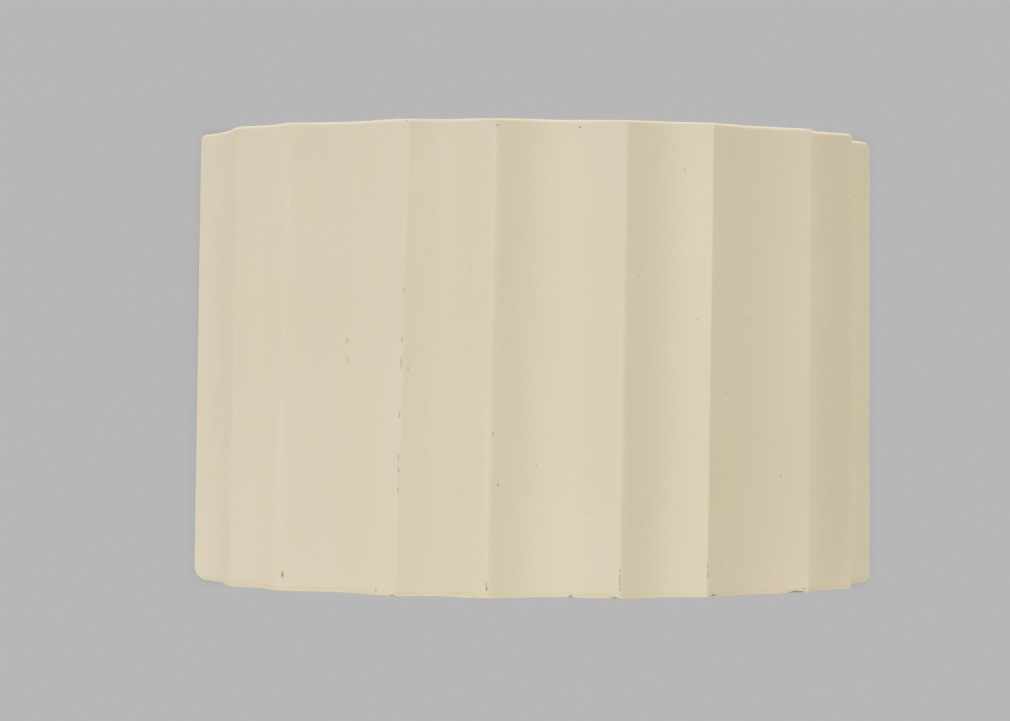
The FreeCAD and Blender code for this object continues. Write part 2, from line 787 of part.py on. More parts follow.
def block_fixings():
    """Brass sockets and their clamp screws, and the two screws that hold the block to the plate."""
    sockets = []
    clamps = []
    for pole, name in ((-1, "left"), (0, "earth"), (1, "right")):
        across = f"{pole} * pole_pitch"
        socket = ring(f"socket_{name}", "socket_radius", "socket_bore", "2 * socket_half",
                      x=across, y="-block_axis", z="-block_level - socket_half")
        for level in (-1, 1):
            spot = {"x": across, "y": "-pole_screw_face", "along": "+y"}
            spot["z"] = f"{level} * pole_screw_pitch / 2 - block_level"
            well = rod(f"well_{name}_{level + 1}", "pole_screw_hole", "pole_screw_face - block_axis", **spot)
            socket = cut(socket, well)
            clamps.append(rod(f"clamp_{name}_{level + 1}", "pole_screw_radius", "pole_screw_length", **spot))
        sockets.append(socket)
    group("terminal_sockets", sockets)
    group("terminal_screws", clamps)
    screws = []
    for side, sign in SIDES.items():
        spot = {"x": f"{sign} * pole_pitch / 2", "y": "-block_front", "z": "-block_level"}
        shank = rod(f"block_shank_{side}", "block_screw_radius", "block_front", along="+y", **spot)
        head = rod(f"block_head_{side}", "block_screw_head", "block_screw_head_height", along="-y", **spot)
        screws.append(fuse(f"block_screw_{side}", shank, head))
    group("block_screws", screws)


def earth_tag():
    """Crimped ring tag: a flat ring and neck with a barrel that points up."""
    across, level = EARTH_STUD
    flat = {"x": across, "y": "-plate_thickness", "z": level, "along": "-y"}
    barrel_spot = {"x": across, "y": "-tag_axis", "z": f"{level} + tag_reach"}
    neck = doc.addObject("Part::Box", "tag_neck_plate")
    neck.setExpression("Length", bind("tag_neck"))
    neck.setExpression("Width", bind("tag_thickness"))
    neck.setExpression("Height", bind("tag_reach + tag_barrel_radius"))
    place(neck, x=f"{across} - tag_neck / 2", y="-tag_front", z=level)
    disc = rod("tag_disc", "tag_radius", "tag_thickness", **flat)
    barrel = rod("tag_barrel", "tag_barrel_radius", "tag_barrel_length", **barrel_spot)
    blank = fuse("tag_blank", disc, neck, barrel)
    holes = fuse("tag_holes",
                 rod("tag_stud_hole", "stud_hole", "tag_thickness", **flat),
                 rod("tag_wire_hole", "tag_bore", "tag_barrel_length", **barrel_spot))
    return subpart(cut(blank, holes), "earth_tag")


# Lamp arms, holders and lamps


def lamp_arm(side, sign):
    """Strip folded to an L: an upright flange on two studs and a level leg under the holder."""
    body = new_body(f"lamp_arm_{side}", x=f"{sign} * lamp_side")
    strip = new_sketch(body, f"arm_side_{side}", "YZ_Plane")
    outline(strip, [
        ("-plate_thickness", "-arm_level"),
        ("-plate_thickness", "arm_flange - arm_level"),
        ("-arm_front", "arm_flange - arm_level"),
        ("-arm_front", "arm_top"),
        ("-lamp_reach - arm_nose", "arm_top"),
        ("-lamp_reach - arm_nose", "-arm_level"),
    ])
    pad(body, strip, "arm_width", both_ways=True)

    def is_outer_fold(start, end, middle):
        at_fold = near(middle.y, value("-plate_thickness")) and near(middle.z, value("-arm_level"))
        return runs_along(start, end, "x") and at_fold

    def is_inner_fold(start, end, middle):
        at_fold = near(middle.y, value("-arm_front")) and near(middle.z, value("arm_top"))
        return runs_along(start, end, "x") and at_fold

    def is_nose(start, end, middle):
        return runs_along(start, end, "z") and near(middle.y, value("-lamp_reach - arm_nose"))

    round_edges(body, f"arm_outer_fold_{side}", "arm_bend + arm_thickness", is_outer_fold)
    round_edges(body, f"arm_inner_fold_{side}", "arm_bend", is_inner_fold)
    round_edges(body, f"arm_nose_{side}", "arm_nose_round", is_nose)
    stud_holes = new_sketch(body, f"arm_stud_holes_{side}", "XZ_Plane")
    for level in ("arm_upper_stud", "arm_lower_stud"):
        circle(stud_holes, "0", level, "stud_hole")
    pocket(body, stud_holes)
    nipple_hole = new_sketch(body, f"arm_nipple_hole_{side}", "XY_Plane")
    circle(nipple_hole, "0", "-lamp_reach", "nipple_hole")
    pocket(body, nipple_hole)
    return subpart(body, f"lamp_arm_{side}")


def lamp_holder(side, spot):
    """Screw holder that stands on the arm: heights are above the top of the arm."""
    turned(f"nipple_{side}", [
        ("nipple_bore", "nipple_foot"),
        ("nipple_radius", "nipple_foot"),
        ("nipple_radius", "nipple_above"),
        ("nipple_bore", "nipple_above"),
    ], **spot)
    turned(f"holder_dome_{side}", [
        ("nipple_thread", "0"),
        ("holder_foot", "0", "dome_round"),
        ("holder_radius", "dome_shoulder"),
        ("thread_radius", "dome_shoulder"),
        ("thread_radius", "dome_height"),
        ("dome_bore", "dome_height"),
        ("dome_bore", "dome_step"),
        ("dome_foot_bore", "dome_step"),
        ("dome_foot_bore", "dome_floor"),
        ("nipple_thread", "dome_floor"),
    ], **spot)
    core = turned(f"holder_core_{side}", [
        ("0", "dome_step"),
        ("core_radius", "dome_step"),
        ("core_radius", "core_top"),
        ("core_bore", "core_top"),
        ("core_bore", "core_seat"),
        ("0", "core_seat"),
    ], **spot)
    wires = new_sketch(core, f"core_wire_holes_{side}", "XY_Plane")
    for sign in SIDES.values():
        circle(wires, "0", f"{sign} * core_wire_offset", "core_wire_hole")
    pocket(core, wires)
    skirt = turned(f"holder_skirt_{side}", [
        ("skirt_thread", "dome_shoulder"),
        ("holder_radius", "dome_shoulder"),
        ("holder_radius", "skirt_top"),
        ("skirt_mouth", "skirt_top"),
        ("skirt_mouth", "lip_foot"),
        ("skirt_bore", "lip_foot"),
        ("skirt_bore", "skirt_step"),
        ("skirt_thread", "skirt_step"),
    ], **spot)

    def is_crown(start, end, middle):
        outside = near(math.hypot(middle.x, middle.y), value("holder_radius"))
        return outside and near(middle.z, value("skirt_top"))

    round_edges(skirt, f"skirt_crown_{side}", "skirt_round", is_crown)
    turned(f"screw_shell_{side}", [
        ("shell_bore", "shell_foot"),
        ("shell_radius", "shell_foot"),
        ("shell_radius", "shell_top"),
        ("shell_bore", "shell_top"),
    ], **spot)
    contact = new_body(f"centre_contact_{side}", **spot)
    leaf = new_sketch(contact, f"contact_leaf_{side}", "XZ_Plane")
    outline(leaf, [
        ("-contact_reach", "core_seat"),
        ("-contact_reach + contact_step", "core_seat"),
        ("-contact_reach + 2 * contact_step", "contact_top - contact_thickness"),
        ("contact_step", "contact_top - contact_thickness"),
        ("contact_step", "contact_top"),
        ("-contact_reach + 2 * contact_step - contact_thickness", "contact_top"),
        ("-contact_reach + contact_step - contact_thickness", "core_seat + contact_thickness"),
        ("-contact_reach", "core_seat + contact_thickness"),
    ])
    pad(contact, leaf, "contact_width", both_ways=True)
    subpart(contact, f"centre_contact_{side}")


def lamp(side, spot):
    """Round lamp: solder tip, black insulator, brass cap with its collar, and blown globe."""
    turned(f"lamp_tip_{side}", [
        ("0", "tip_foot", "tip_round"),
        ("tip_radius", "insulator_foot"),
        ("0", "insulator_foot"),
    ], **spot)
    turned(f"lamp_insulator_{side}", [
        ("0", "insulator_foot"),
        ("insulator_foot_radius", "insulator_foot"),
        ("insulator_top_radius", "cap_foot"),
        ("insulator_top_radius", "cap_foot + insulator_plug"),
        ("0", "cap_foot + insulator_plug"),
    ], **spot)
    turned(f"lamp_cap_{side}", [
        ("cap_bore", "cap_foot"),
        ("cap_radius", "cap_foot"),
        ("cap_radius", "collar_foot"),
        ("collar_radius", "collar_foot"),
        ("collar_radius", "collar_top"),
        ("collar_bore", "collar_top"),
        ("collar_bore", "neck_foot"),
        ("cap_bore", "neck_foot"),
    ], **spot)
    turned(f"lamp_globe_{side}", [
        ("neck_bore", "neck_foot"),
        ("globe_neck", "neck_foot"),
        ("globe_neck", "neck_top", "-globe_neck_round"),
        ("neck_centre * outer_join", "globe_centre - globe_drop * outer_join", "globe_radius"),
        ("globe_radius", "globe_centre", "globe_radius"),
        ("0", "globe_centre + globe_radius"),
        ("0", "globe_centre + globe_inside", "-globe_inside"),
        ("globe_inside", "globe_centre", "-globe_inside"),
        ("neck_centre * inner_join", "globe_centre - globe_drop * inner_join", "neck_round_inside"),
        ("neck_bore", "neck_top"),
    ], **spot)


def lamp_arms():
    """Both arms with their nipples, holders and lamps."""
    locknuts = []
    for side, sign in SIDES.items():
        lamp_arm(side, sign)
        spot = {"x": f"{sign} * lamp_side", "y": "-lamp_reach", "z": "arm_top"}
        lamp_holder(side, spot)
        lamp(side, spot)
        below = {**spot, "z": "-arm_level - nipple_nut_height"}
        locknuts.append(nut(f"locknut_{side}", "nipple_nut_corner", "nipple_thread", "nipple_nut_height",
                            **below))
    group("nipple_nuts", locknuts)


# Leads held at both ends


def hanging_lead(label, radius, start, end, level, bend):
    """A lead that runs upright from each end to one level, where two bends and a straight run join them."""
    first, last = Vector(*map(value, start)), Vector(*map(value, end))
    height, turn = value(level), value(bend)
    across = Vector(last.x - first.x, last.y - first.y, 0)
    along = Vector(across).normalize()
    corner_first = Vector(first.x, first.y, height)
    corner_last = Vector(last.x, last.y, height)
    rise = Vector(0, 0, math.copysign(turn, first.z - height))
    inset = turn * (1 - math.sqrt(0.5))
    slack = Vector(0, 0, math.copysign(inset, first.z - height))
    points = [corner_first + rise, corner_first + along * turn]
    points += [corner_last - along * turn, corner_last + rise]
    edges = [
        Part.LineSegment(first, points[0]),
        Part.Arc(points[0], corner_first + along * inset + slack, points[1]),
        Part.LineSegment(points[1], points[2]),
        Part.Arc(points[2], corner_last - along * inset + slack, points[3]),
        Part.LineSegment(points[3], last),
    ]
    path = Part.Wire([edge.toShape() for edge in edges])
    section = Part.Wire([Part.Circle(first, points[0] - first, value(radius)).toShape()])
    solid = path.makePipeShell([section], True, False)
    expected = math.pi * value(radius) ** 2 * path.Length
    share = solid.Volume / expected
    print(f"{label}: {path.Length:.1f} mm long, bends {turn:g} mm, {share:.4f} of section times length")
    thing = doc.addObject("Part::Feature", label)
    thing.Shape = solid
    return subpart(thing, label)


def leads():
    """A sleeved lead from each nipple to the block, and a short earth lead from the block to its tag."""
    for side, sign in SIDES.items():
        start = (f"{sign} * lamp_side", "-lamp_reach", "arm_top + nipple_foot + lamp_lead_entry")
        end = (f"{sign} * pole_pitch", "-block_axis", "-block_level - socket_half")
        hanging_lead(f"lamp_lead_{side}", "lamp_lead_radius", start, end, "lamp_lead_level", "lamp_lead_bend")
    start = ("0", "-block_axis", "socket_half - block_level - earth_lead_entry")
    end = (EARTH_STUD[0], "-tag_axis", f"{EARTH_STUD[1]} + tag_reach")
    hanging_lead("earth_lead", "earth_lead_radius", start, end, "earth_lead_level", "earth_lead_bend")


plaster_shade()
back_strap()
strap_fixings()
wall_plate()
cable_bush()
plate_studs()
terminal_block()
block_fixings()
earth_tag()
lamp_arms()
leads()
doc.recompute()

for thing in doc.Objects:
    if "Invalid" in thing.State or "Error" in thing.State:
        raise RuntimeError(f"{thing.Name} failed: {thing.State}")
for thing in subparts:
    if thing.Shape.isNull() or not thing.Shape.isValid():
        raise RuntimeError(f"{thing.Label} has no sound shape")

os.makedirs("parts", exist_ok=True)
for thing in subparts:
    thing.Shape.exportStep(f"parts/{thing.Label}.step")
print(f"{len(subparts)} sub-parts written")
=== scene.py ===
"""Looks of the plaster wall light.

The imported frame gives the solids, the bodies and the joints. The classes below carve the fluted
plaster, cut threads and screw heads, and give every piece its finish. Sizes are in millimetres
and become metres when a mesh is put into the scene.
"""

import json
import logging
import math
from collections.abc import Sequence
from dataclasses import dataclass, field
from enum import Enum
from typing import Any

import bmesh
import bpy
import numpy as np
from mathutils import Matrix, Vector


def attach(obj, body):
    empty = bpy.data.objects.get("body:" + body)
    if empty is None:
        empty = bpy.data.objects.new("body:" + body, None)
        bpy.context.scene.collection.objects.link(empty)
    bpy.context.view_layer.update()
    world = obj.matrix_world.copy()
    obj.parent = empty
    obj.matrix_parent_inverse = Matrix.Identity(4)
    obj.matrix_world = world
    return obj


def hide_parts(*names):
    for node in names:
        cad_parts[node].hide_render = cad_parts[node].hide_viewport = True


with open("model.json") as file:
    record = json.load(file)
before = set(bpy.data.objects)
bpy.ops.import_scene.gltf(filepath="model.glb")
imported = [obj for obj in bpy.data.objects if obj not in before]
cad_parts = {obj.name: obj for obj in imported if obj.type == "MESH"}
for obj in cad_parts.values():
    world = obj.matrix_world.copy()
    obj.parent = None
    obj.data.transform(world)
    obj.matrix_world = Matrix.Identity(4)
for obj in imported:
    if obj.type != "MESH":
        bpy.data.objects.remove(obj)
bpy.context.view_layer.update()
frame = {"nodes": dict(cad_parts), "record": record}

MM = 0.001
FULL_TURN = 2 * math.pi
FLUTES = 9
INSIDE_SHIFT = 1.0  # metres by which the UV map of the shade's inner face is moved aside
LAMP_SPACING = 62.0  # from the middle to each lamp's axis
LAMP_FORWARD = -72.0  # y of both lamp axes
ROD_SIDES = 28  # points once round a rod
HEAD_SIDES = 72  # and once round a nut or a screw
ROLLED_SIDES = 56  # and once round rolled metal
PITCH_STEPS = 8  # rows for each turn of a thread
NUT_CREASE = 20.0  # degrees
WELD = 1e-7  # metres within which points become one
LOG = logging.getLogger("plaster_wall_light")
Array = np.ndarray
Row = tuple[float, ...]
Span = tuple[float, float]
Triple = tuple[float, float, float]
Colour = Triple
COOL: Colour = (0.89, 0.935, 1.0)
WARM: Colour = (1.0, 0.97, 0.62)
HIGH: Colour = (1.0, 0.96, 0.88)


class Body(Enum):
    """The bodies of the frame that pieces ride on."""

    FITTING = "wall_fitting"
    SHADE = "shade"
    LAMP_LEFT = "lamp_left"
    LAMP_RIGHT = "lamp_right"


class Side(Enum):
    """The two lamps, with the sign of x for each."""

    LEFT = -1
    RIGHT = 1

    @property
    def label(self) -> str:
        """The word that ends this side's node names."""
        return self.name.lower()

    @property
    def lamp(self) -> Body:
        """The body of this side's lamp."""
        return Body[f"LAMP_{self.name}"]

    @property
    def axis(self) -> Triple:
        """Foot of this side's lamp axis at height 0."""
        return (self.value * LAMP_SPACING, LAMP_FORWARD, 0.0)


class Facing(Enum):
    """Where the axis of a turned piece points: its first, second and axis direction."""

    UP = ((1, 0, 0), (0, 1, 0), (0, 0, 1))
    FRONT = ((1, 0, 0), (0, 0, 1), (0, -1, 0))
    TO_LEFT = ((0, 1, 0), (0, 0, 1), (-1, 0, 0))
    TO_RIGHT = ((0, 1, 0), (0, 0, 1), (1, 0, 0))


class Recess(Enum):
    """The driver recess in a screw head."""

    SLOT = "slot"
    CROSS = "cross"


# Shader maths


class Socket:
    """One output socket of a shader, with arithmetic that adds Math nodes."""

    def __init__(self, shader: "Shader", socket: bpy.types.NodeSocket) -> None:
        """Keeps the socket and the shader that it belongs to."""
        self.shader = shader
        self.socket = socket

    def _math(self, operation: str, *terms: "Socket | float") -> "Socket":
        """Adds one Math node.

        Args:
            operation: the node's operation.
            terms: its inputs, in order.

        Returns:
            The node's output.
        """
        return self.shader.node("Math", {"operation": operation}, dict(enumerate(terms)))

    def __add__(self, other: "Socket | float") -> "Socket":
        """This plus other, in either order."""
        return self._math("ADD", self, other)

    def __sub__(self, other: "Socket | float") -> "Socket":
        """This minus other."""
        return self._math("SUBTRACT", self, other)

    def __rsub__(self, other: float) -> "Socket":
        """Other minus this."""
        return self._math("SUBTRACT", other, self)

    def __mul__(self, other: "Socket | float") -> "Socket":
        """This times other, in either order."""
        return self._math("MULTIPLY", self, other)

    __radd__ = __add__
    __rmul__ = __mul__

    def __abs__(self) -> "Socket":
        """The size of this without its sign."""
        return self._math("ABSOLUTE", self)

    def highest(self, other: "Socket | float") -> "Socket":
        """The greater of this and other."""
        return self._math("MAXIMUM", self, other)

    def fade(self, start: float, end: float) -> "Socket":
        """Rises smoothly from 0 where this is start to 1 where it is end."""
        return self.shader.node(
            "MapRange",
            {"interpolation_type": "SMOOTHSTEP"},
            {"Value": self, "From Min": start, "From Max": end},
        )


class Shader:
    """The node tree of a material or a world, built from expressions."""

    def __init__(self, owner: bpy.types.Material | bpy.types.World) -> None:
        """Starts with the owner's tree, emptied.

        Args:
            owner: the material or world.
        """
        owner.use_nodes = True
        self.owner = owner
        self.tree = owner.node_tree
        self.tree.nodes.clear()

    def node(
        self,
        kind: str,
        settings: dict[str, Any] | None = None,
        inputs: dict[str | int, Any] | None = None,
        output: str | int = 0,
    ) -> Socket:
        """Adds any node.

        Args:
            kind: the node's type, without the leading ShaderNode.
            settings: its own properties, set first.
            inputs: constants or sockets for its inputs, by name or place.
            output: which output to hand back.

        Returns:
            The chosen output.
        """
        made = self.tree.nodes.new("ShaderNode" + kind)
        for name, value in (settings or {}).items():
            setattr(made, name, value)
        for name, value in (inputs or {}).items():
            if isinstance(value, Socket):
                self.tree.links.new(value.socket, made.inputs[name])
            else:
                made.inputs[name].default_value = value
        return Socket(self, made.outputs[output] if len(made.outputs) else None)

    def place(self, stretch: Triple | None = None) -> Socket:
        """Object coordinates in metres.

        Args:
            stretch: factors for x, y and z, where the pattern is longer one way.

        Returns:
            The coordinates.
        """
        spot = self.node("TexCoord", output="Object")
        if stretch is None:
            return spot
        return self.node("VectorMath", {"operation": "MULTIPLY"}, {0: spot, 1: stretch})

    def noise(self, scale: float, detail: float = 2.0, stretch: Triple | None = None) -> Socket:
        """Cloudy noise about 0.5.

        Args:
            scale: clouds for each metre.
            detail: how many finer layers it has.
            stretch: factors for x, y and z.

        Returns:
            The noise.
        """
        inputs = {"Vector": self.place(stretch), "Scale": scale, "Detail": detail}
        return self.node("TexNoise", None, inputs)

    def mix(self, share: Socket | float, first: Any, second: Any) -> Socket:
        """Mixes two colours.

        Args:
            share: how much of the second colour.
            first: colour or socket.
            second: colour or socket.

        Returns:
            The mixed colour.
        """
        settings = {"data_type": "RGBA", "clamp_factor": True}
        return self.node("Mix", settings, {0: share, 6: opaque(first), 7: opaque(second)}, 2)

    def bump(self, height: Socket, depth: float) -> Socket:
        """Turns a height from 0 to 1 into a normal.

        Args:
            height: the height.
            depth: how deep a height of 1 is, in millimetres.

        Returns:
            The normal.
        """
        return self.node("Bump", None, {"Height": height, "Distance": depth * MM, "Strength": 1.0})

    def surface(
        self, colour: Socket, roughness: Socket, normal: Socket, others: dict[str, float] | None = None
    ) -> None:
        """Ends the material in a Principled shader.

        Args:
            colour: its base colour.
            roughness: its roughness.
            normal: its bumped normal.
            others: further inputs, by name.
        """
        inputs = {"Base Color": colour, "Roughness": roughness, "Normal": normal, **(others or {})}
        self.node("OutputMaterial", None, {"Surface": self.node("BsdfPrincipled", None, inputs)})


def opaque(colour: Any) -> Any:
    """Adds the fourth number to a colour, and leaves numbers and sockets as they are."""
    return (*colour, 1.0) if isinstance(colour, tuple) and len(colour) == 3 else colour


def shade_of(colour: Colour, factor: float) -> Colour:
    """The colour, lighter or darker by a factor."""
    return tuple(min(1.0, part * factor) for part in colour)


# Finishes


@dataclass(frozen=True)
class Finish:
    """What every finish has: its slot's name and its colour."""

    slot: str
    colour: Colour

    def paint(self, shader: Shader) -> None:
        """Draws the finish into a shader."""
        raise NotImplementedError

    def material(self) -> bpy.types.Material:
        """The finished material."""
        shader = Shader(bpy.data.materials.new(self.slot))
        self.paint(shader)
        return shader.owner


@dataclass(frozen=True)
class Flaw:
    """A small brown mark in the plaster, placed from an arris. Sizes are in millimetres."""

    arris: int
    offset: float
    level: float
    half_width: float
    half_height: float


@dataclass(frozen=True)
class Bruise:
    """A broken dark line on an arris, between two levels in millimetres. More gaps break it up more."""

    arris: int
    low: float
    high: float
    gaps: float


@dataclass(frozen=True)
class Speckle:
    """Small upright marks in a few cells of a cell pattern.

    The scale is in cells for each metre, the radius is the share of a cell's size that a mark covers, and clean
    is the share of cells without a mark. The tone is a factor of the plaster's.
    """

    scale: float
    radius: float
    clean: float
    strength: float
    tone: float

    def marks(self, shader: Shader) -> Socket:
        """Draws the marks.

        Args:
            shader: the shader to add to.

        Returns:
            1 inside a mark.
        """
        inputs = {"Vector": shader.place((1.0, 1.0, 0.62)), "Scale": self.scale}
        near = shader.node("TexVoronoi", None, inputs, "Distance")
        cell = shader.node("TexVoronoi", None, inputs, "Color")
        chance = shader.node("SeparateColor", None, {0: cell})
        return (1 - near.fade(self.radius * 0.5, self.radius)) * chance.fade(self.clean, self.clean + 0.01)


def plaster_flaws() -> tuple[Flaw, ...]:
    """The brown marks of the shade: chipped rims, bruised arrises and single pits."""
    marks = (
        (6, 5.0, -110.4, 2.4, 0.9), (7, -5.5, -110.3, 4.6, 0.6), (7, -2.4, -108.7, 0.5, 0.5),
        (3, -1.6, -110.5, 1.6, 0.5), (5, -2.0, -110.5, 2.4, 0.5), (5, -22.0, -110.4, 1.2, 0.6),
        (4, 0.4, -106.6, 0.45, 1.1), (8, 0.2, -107.5, 0.5, 0.9), (8, 0.0, 110.6, 1.1, 0.9),
        (2, 2.6, -103.3, 0.5, 2.2), (3, -1.0, 109.8, 0.5, 0.4), (4, 1.0, 107.4, 0.4, 0.4),
        (5, -21.0, 107.4, 0.55, 0.5), (6, -12.0, 88.4, 0.35, 0.4), (6, -5.6, 19.0, 0.35, 0.35),
        (6, 13.5, -16.0, 0.4, 0.5), (4, 23.0, -49.5, 0.4, 0.35), (4, 4.5, -58.6, 0.35, 0.35),
        (4, -5.2, -65.5, 0.4, 0.3), (7, -14.0, -55.0, 0.35, 0.4),
    )
    return tuple(Flaw(*mark) for mark in marks)


@dataclass(frozen=True)
class CastPlaster(Finish):
    """Dry ivory plaster: cloudy tone, pits, brown chips and a raw inside, with a painted highlight along the
    top rim and painted shade, darker and yellower, along the foot.

    Its colour is the palest tone. Bands are heights, and a line's edge is a distance from its arris, all in
    metres. The piece's UV map has the way along the plan curve across and the height up, in metres too.
    """

    warm: Colour = (0.668, 0.580, 0.420)
    chip: Colour = (0.22, 0.145, 0.06)
    # painted shade: the darker, yellower colour of the foot band, where the rounded foot faces down
    foot: Colour = (0.60, 0.47, 0.255)
    # painted highlight: the paler colour of the top rim, where its rounding faces the light from above
    top_rim_highlight: Colour = (0.82, 0.75, 0.60)
    raw: Colour = (0.70, 0.64, 0.53)
    foot_shade_band: Span = (-0.1105, -0.1078)
    top_rim_highlight_band: Span = (0.1088, 0.1106)
    line_edge: Span = (0.0001, 0.0005)
    arrises: Row = ()
    flaws: tuple[Flaw, ...] = ()
    pits: Speckle = Speckle(74.0, 0.066, 0.74, 0.48, 0.62)
    specks: Speckle = Speckle(128.0, 0.08, 0.8, 0.4, 0.74)
    bruises: tuple[Bruise, ...] = (
        Bruise(2, -104, -98, 0.56),
        Bruise(3, -88, 52, 0.585),
        Bruise(4, -109, -104, 0.52),
        Bruise(5, -107, -97, 0.5),
        Bruise(6, -109, -95, 0.46),
    )

    def flaw(self, shader: Shader, flat: Socket, ragged: Socket, mark: Flaw) -> Socket:
        """One ragged oval mark.

        Args:
            shader: the shader to add to.
            flat: the UV map.
            ragged: noise about 0 that frays the mark's edge.
            mark: its place and size.

        Returns:
            1 inside the mark.
        """
        wide, tall = mark.half_width, mark.half_height
        spot = ((self.arrises[mark.arris] + mark.offset) / wide, mark.level / tall, 0.0)
        scale = (1 / wide / MM, 1 / tall / MM, 0.0)
        local = shader.node("VectorMath", {"operation": "MULTIPLY"}, {0: flat, 1: scale})
        away = shader.node("VectorMath", {"operation": "DISTANCE"}, {0: local, 1: spot}, "Value")
        return 1 - (away + ragged).fade(0.55, 1.1)

    def broken_lines(self, shader: Shader, along: Socket, height: Socket) -> Socket:
        """The broken dark lines on some arrises.

        Args:
            shader: the shader to add to.
            along: way along the plan curve, in metres.
            height: height, in metres.

        Returns:
            1 where an arris is chipped.
        """
        wander = along + (shader.noise(420.0, 2.0) - 0.5) * 0.0016
        breaks = shader.noise(430.0, 2.0, (0.2, 0.2, 0.5))
        lines = None
        for bruise in self.bruises:
            beside = abs(wander - self.arrises[bruise.arris] * MM)
            reach = abs(height - (bruise.low + bruise.high) / 2 * MM)
            half = (bruise.high - bruise.low) / 2 * MM
            line = (1 - beside.fade(*self.line_edge)) * (1 - reach.fade(half, half + MM))
            line = line * breaks.fade(bruise.gaps, bruise.gaps + 0.05)
            lines = line if lines is None else lines.highest(line)
        return lines

    def paint(self, shader: Shader) -> None:
        """Draws the plaster.

        Args:
            shader: the shader to add to.
        """
        flat = shader.node("UVMap", {"uv_map": "plan"})
        along = shader.node("SeparateXYZ", None, {0: flat}, "X")
        height = shader.node("SeparateXYZ", None, {0: shader.place()}, "Z")
        cloud = shader.noise(11.0, 3.0)
        trowel = shader.noise(46.0, 4.0, (1.0, 1.0, 0.16))
        fine = shader.noise(260.0, 3.0)
        tone = 0.5 + (cloud - 0.5) * 0.8 + (trowel - 0.5) * 0.7 + (fine - 0.5) * 0.25
        # Painted shade: a darker, yellower band along the foot, where the rounded foot edge faces down.
        foot_shade_edge = (shader.noise(70.0, 3.0) - 0.5) * 0.003
        foot = 1 - (height + foot_shade_edge).fade(*self.foot_shade_band)
        tint = shader.mix(tone, self.warm, self.colour)
        tint = shader.mix(foot * 0.42, tint, self.foot)
        # Painted highlight: a paler band along the top rim, where its rounding faces the light from above.
        tint = shader.mix(height.fade(*self.top_rim_highlight_band) * 0.6, tint, self.top_rim_highlight)
        pits = self.pits.marks(shader)
        for kind, marks in ((self.pits, pits), (self.specks, self.specks.marks(shader))):
            tint = shader.mix(marks * kind.strength, tint, shade_of(self.warm, kind.tone))
        inside = along.fade(0.45 * INSIDE_SHIFT, 0.55 * INSIDE_SHIFT)
        tint = shader.mix(inside * (0.45 + trowel * 0.5), tint, self.raw)
        chips = self.broken_lines(shader, along, height) * 0.6
        ragged = (shader.noise(900.0, 2.0) - 0.5) * 2.2
        for mark in self.flaws:
            chips = chips.highest(self.flaw(shader, flat, ragged, mark))
        grain = shader.noise(1500.0, 2.0)
        relief = grain * 0.12 + fine * 0.5 + trowel * 0.6 - pits * 1.5
        shader.surface(
            shader.mix(chips * 0.78, tint, self.chip),
            0.78 + (fine - 0.5) * 0.16,
            shader.bump(relief, 0.09),
            {"Specular IOR Level": 0.28},
        )


@dataclass(frozen=True)
class PlatedMetal(Finish):
    """Bare or plated metal: fine drawn streaks, a cloudy tarnish and small dull spots."""

    tarnish: Colour = (0.5, 0.5, 0.5)
    roughness: float = 0.3
    streak: Triple = (1.0, 1.0, 0.05)
    stained: float = 0.35

    def paint(self, shader: Shader) -> None:
        """Draws the metal.

        Args:
            shader: the shader to add to.
        """
        cloud = shader.noise(60.0, 4.0)
        drawn = shader.noise(1400.0, 2.0, self.streak)
        spot = shader.noise(420.0, 3.0).fade(0.62, 0.75)
        dull = cloud.fade(0.42, 0.7) * self.stained + spot * 0.25
        shader.surface(
            shader.mix(dull, self.colour, self.tarnish),
            self.roughness + (drawn - 0.5) * 0.16 + dull * 0.22,
            shader.bump(drawn, 0.006),
            {"Metallic": 1.0},
        )


@dataclass(frozen=True)
class PowderCoat(Finish):
    """Baked powder coat on steel: even colour with an orange-peel skin."""

    roughness: float = 0.42

    def paint(self, shader: Shader) -> None:
        """Draws the coat.

        Args:
            shader: the shader to add to.
        """
        peel = shader.noise(900.0, 1.0)
        dust = shader.noise(120.0, 4.0)
        tint = shader.mix(dust.fade(0.35, 0.75) * 0.6, self.colour, shade_of(self.colour, 0.9))
        shader.surface(tint, self.roughness + (dust - 0.5) * 0.2, shader.bump(peel, 0.035))


@dataclass(frozen=True)
class Moulding(Finish):
    """A moulded or fired piece: faint flow clouds, a fine skin and its own gloss."""

    roughness: float = 0.45
    skin: float = 700.0
    relief: float = 0.02
    glaze: float = 0.0

    def paint(self, shader: Shader) -> None:
        """Draws the moulding.

        Args:
            shader: the shader to add to.
        """
        flow = shader.noise(90.0, 3.0)
        skin = shader.noise(self.skin, 3.0)
        speck = shader.noise(1100.0, 1.0).fade(0.68, 0.74)
        tint = shader.mix(flow.fade(0.35, 0.7) * 0.7, self.colour, shade_of(self.colour, 0.88))
        tint = shader.mix(speck * 0.18, tint, shade_of(self.colour, 0.6))
        shader.surface(
            tint,
            self.roughness + (skin - 0.5) * 0.14 + (flow - 0.5) * 0.1,
            shader.bump(skin, self.relief),
            {"Coat Weight": self.glaze, "Coat Roughness": 0.08},
        )


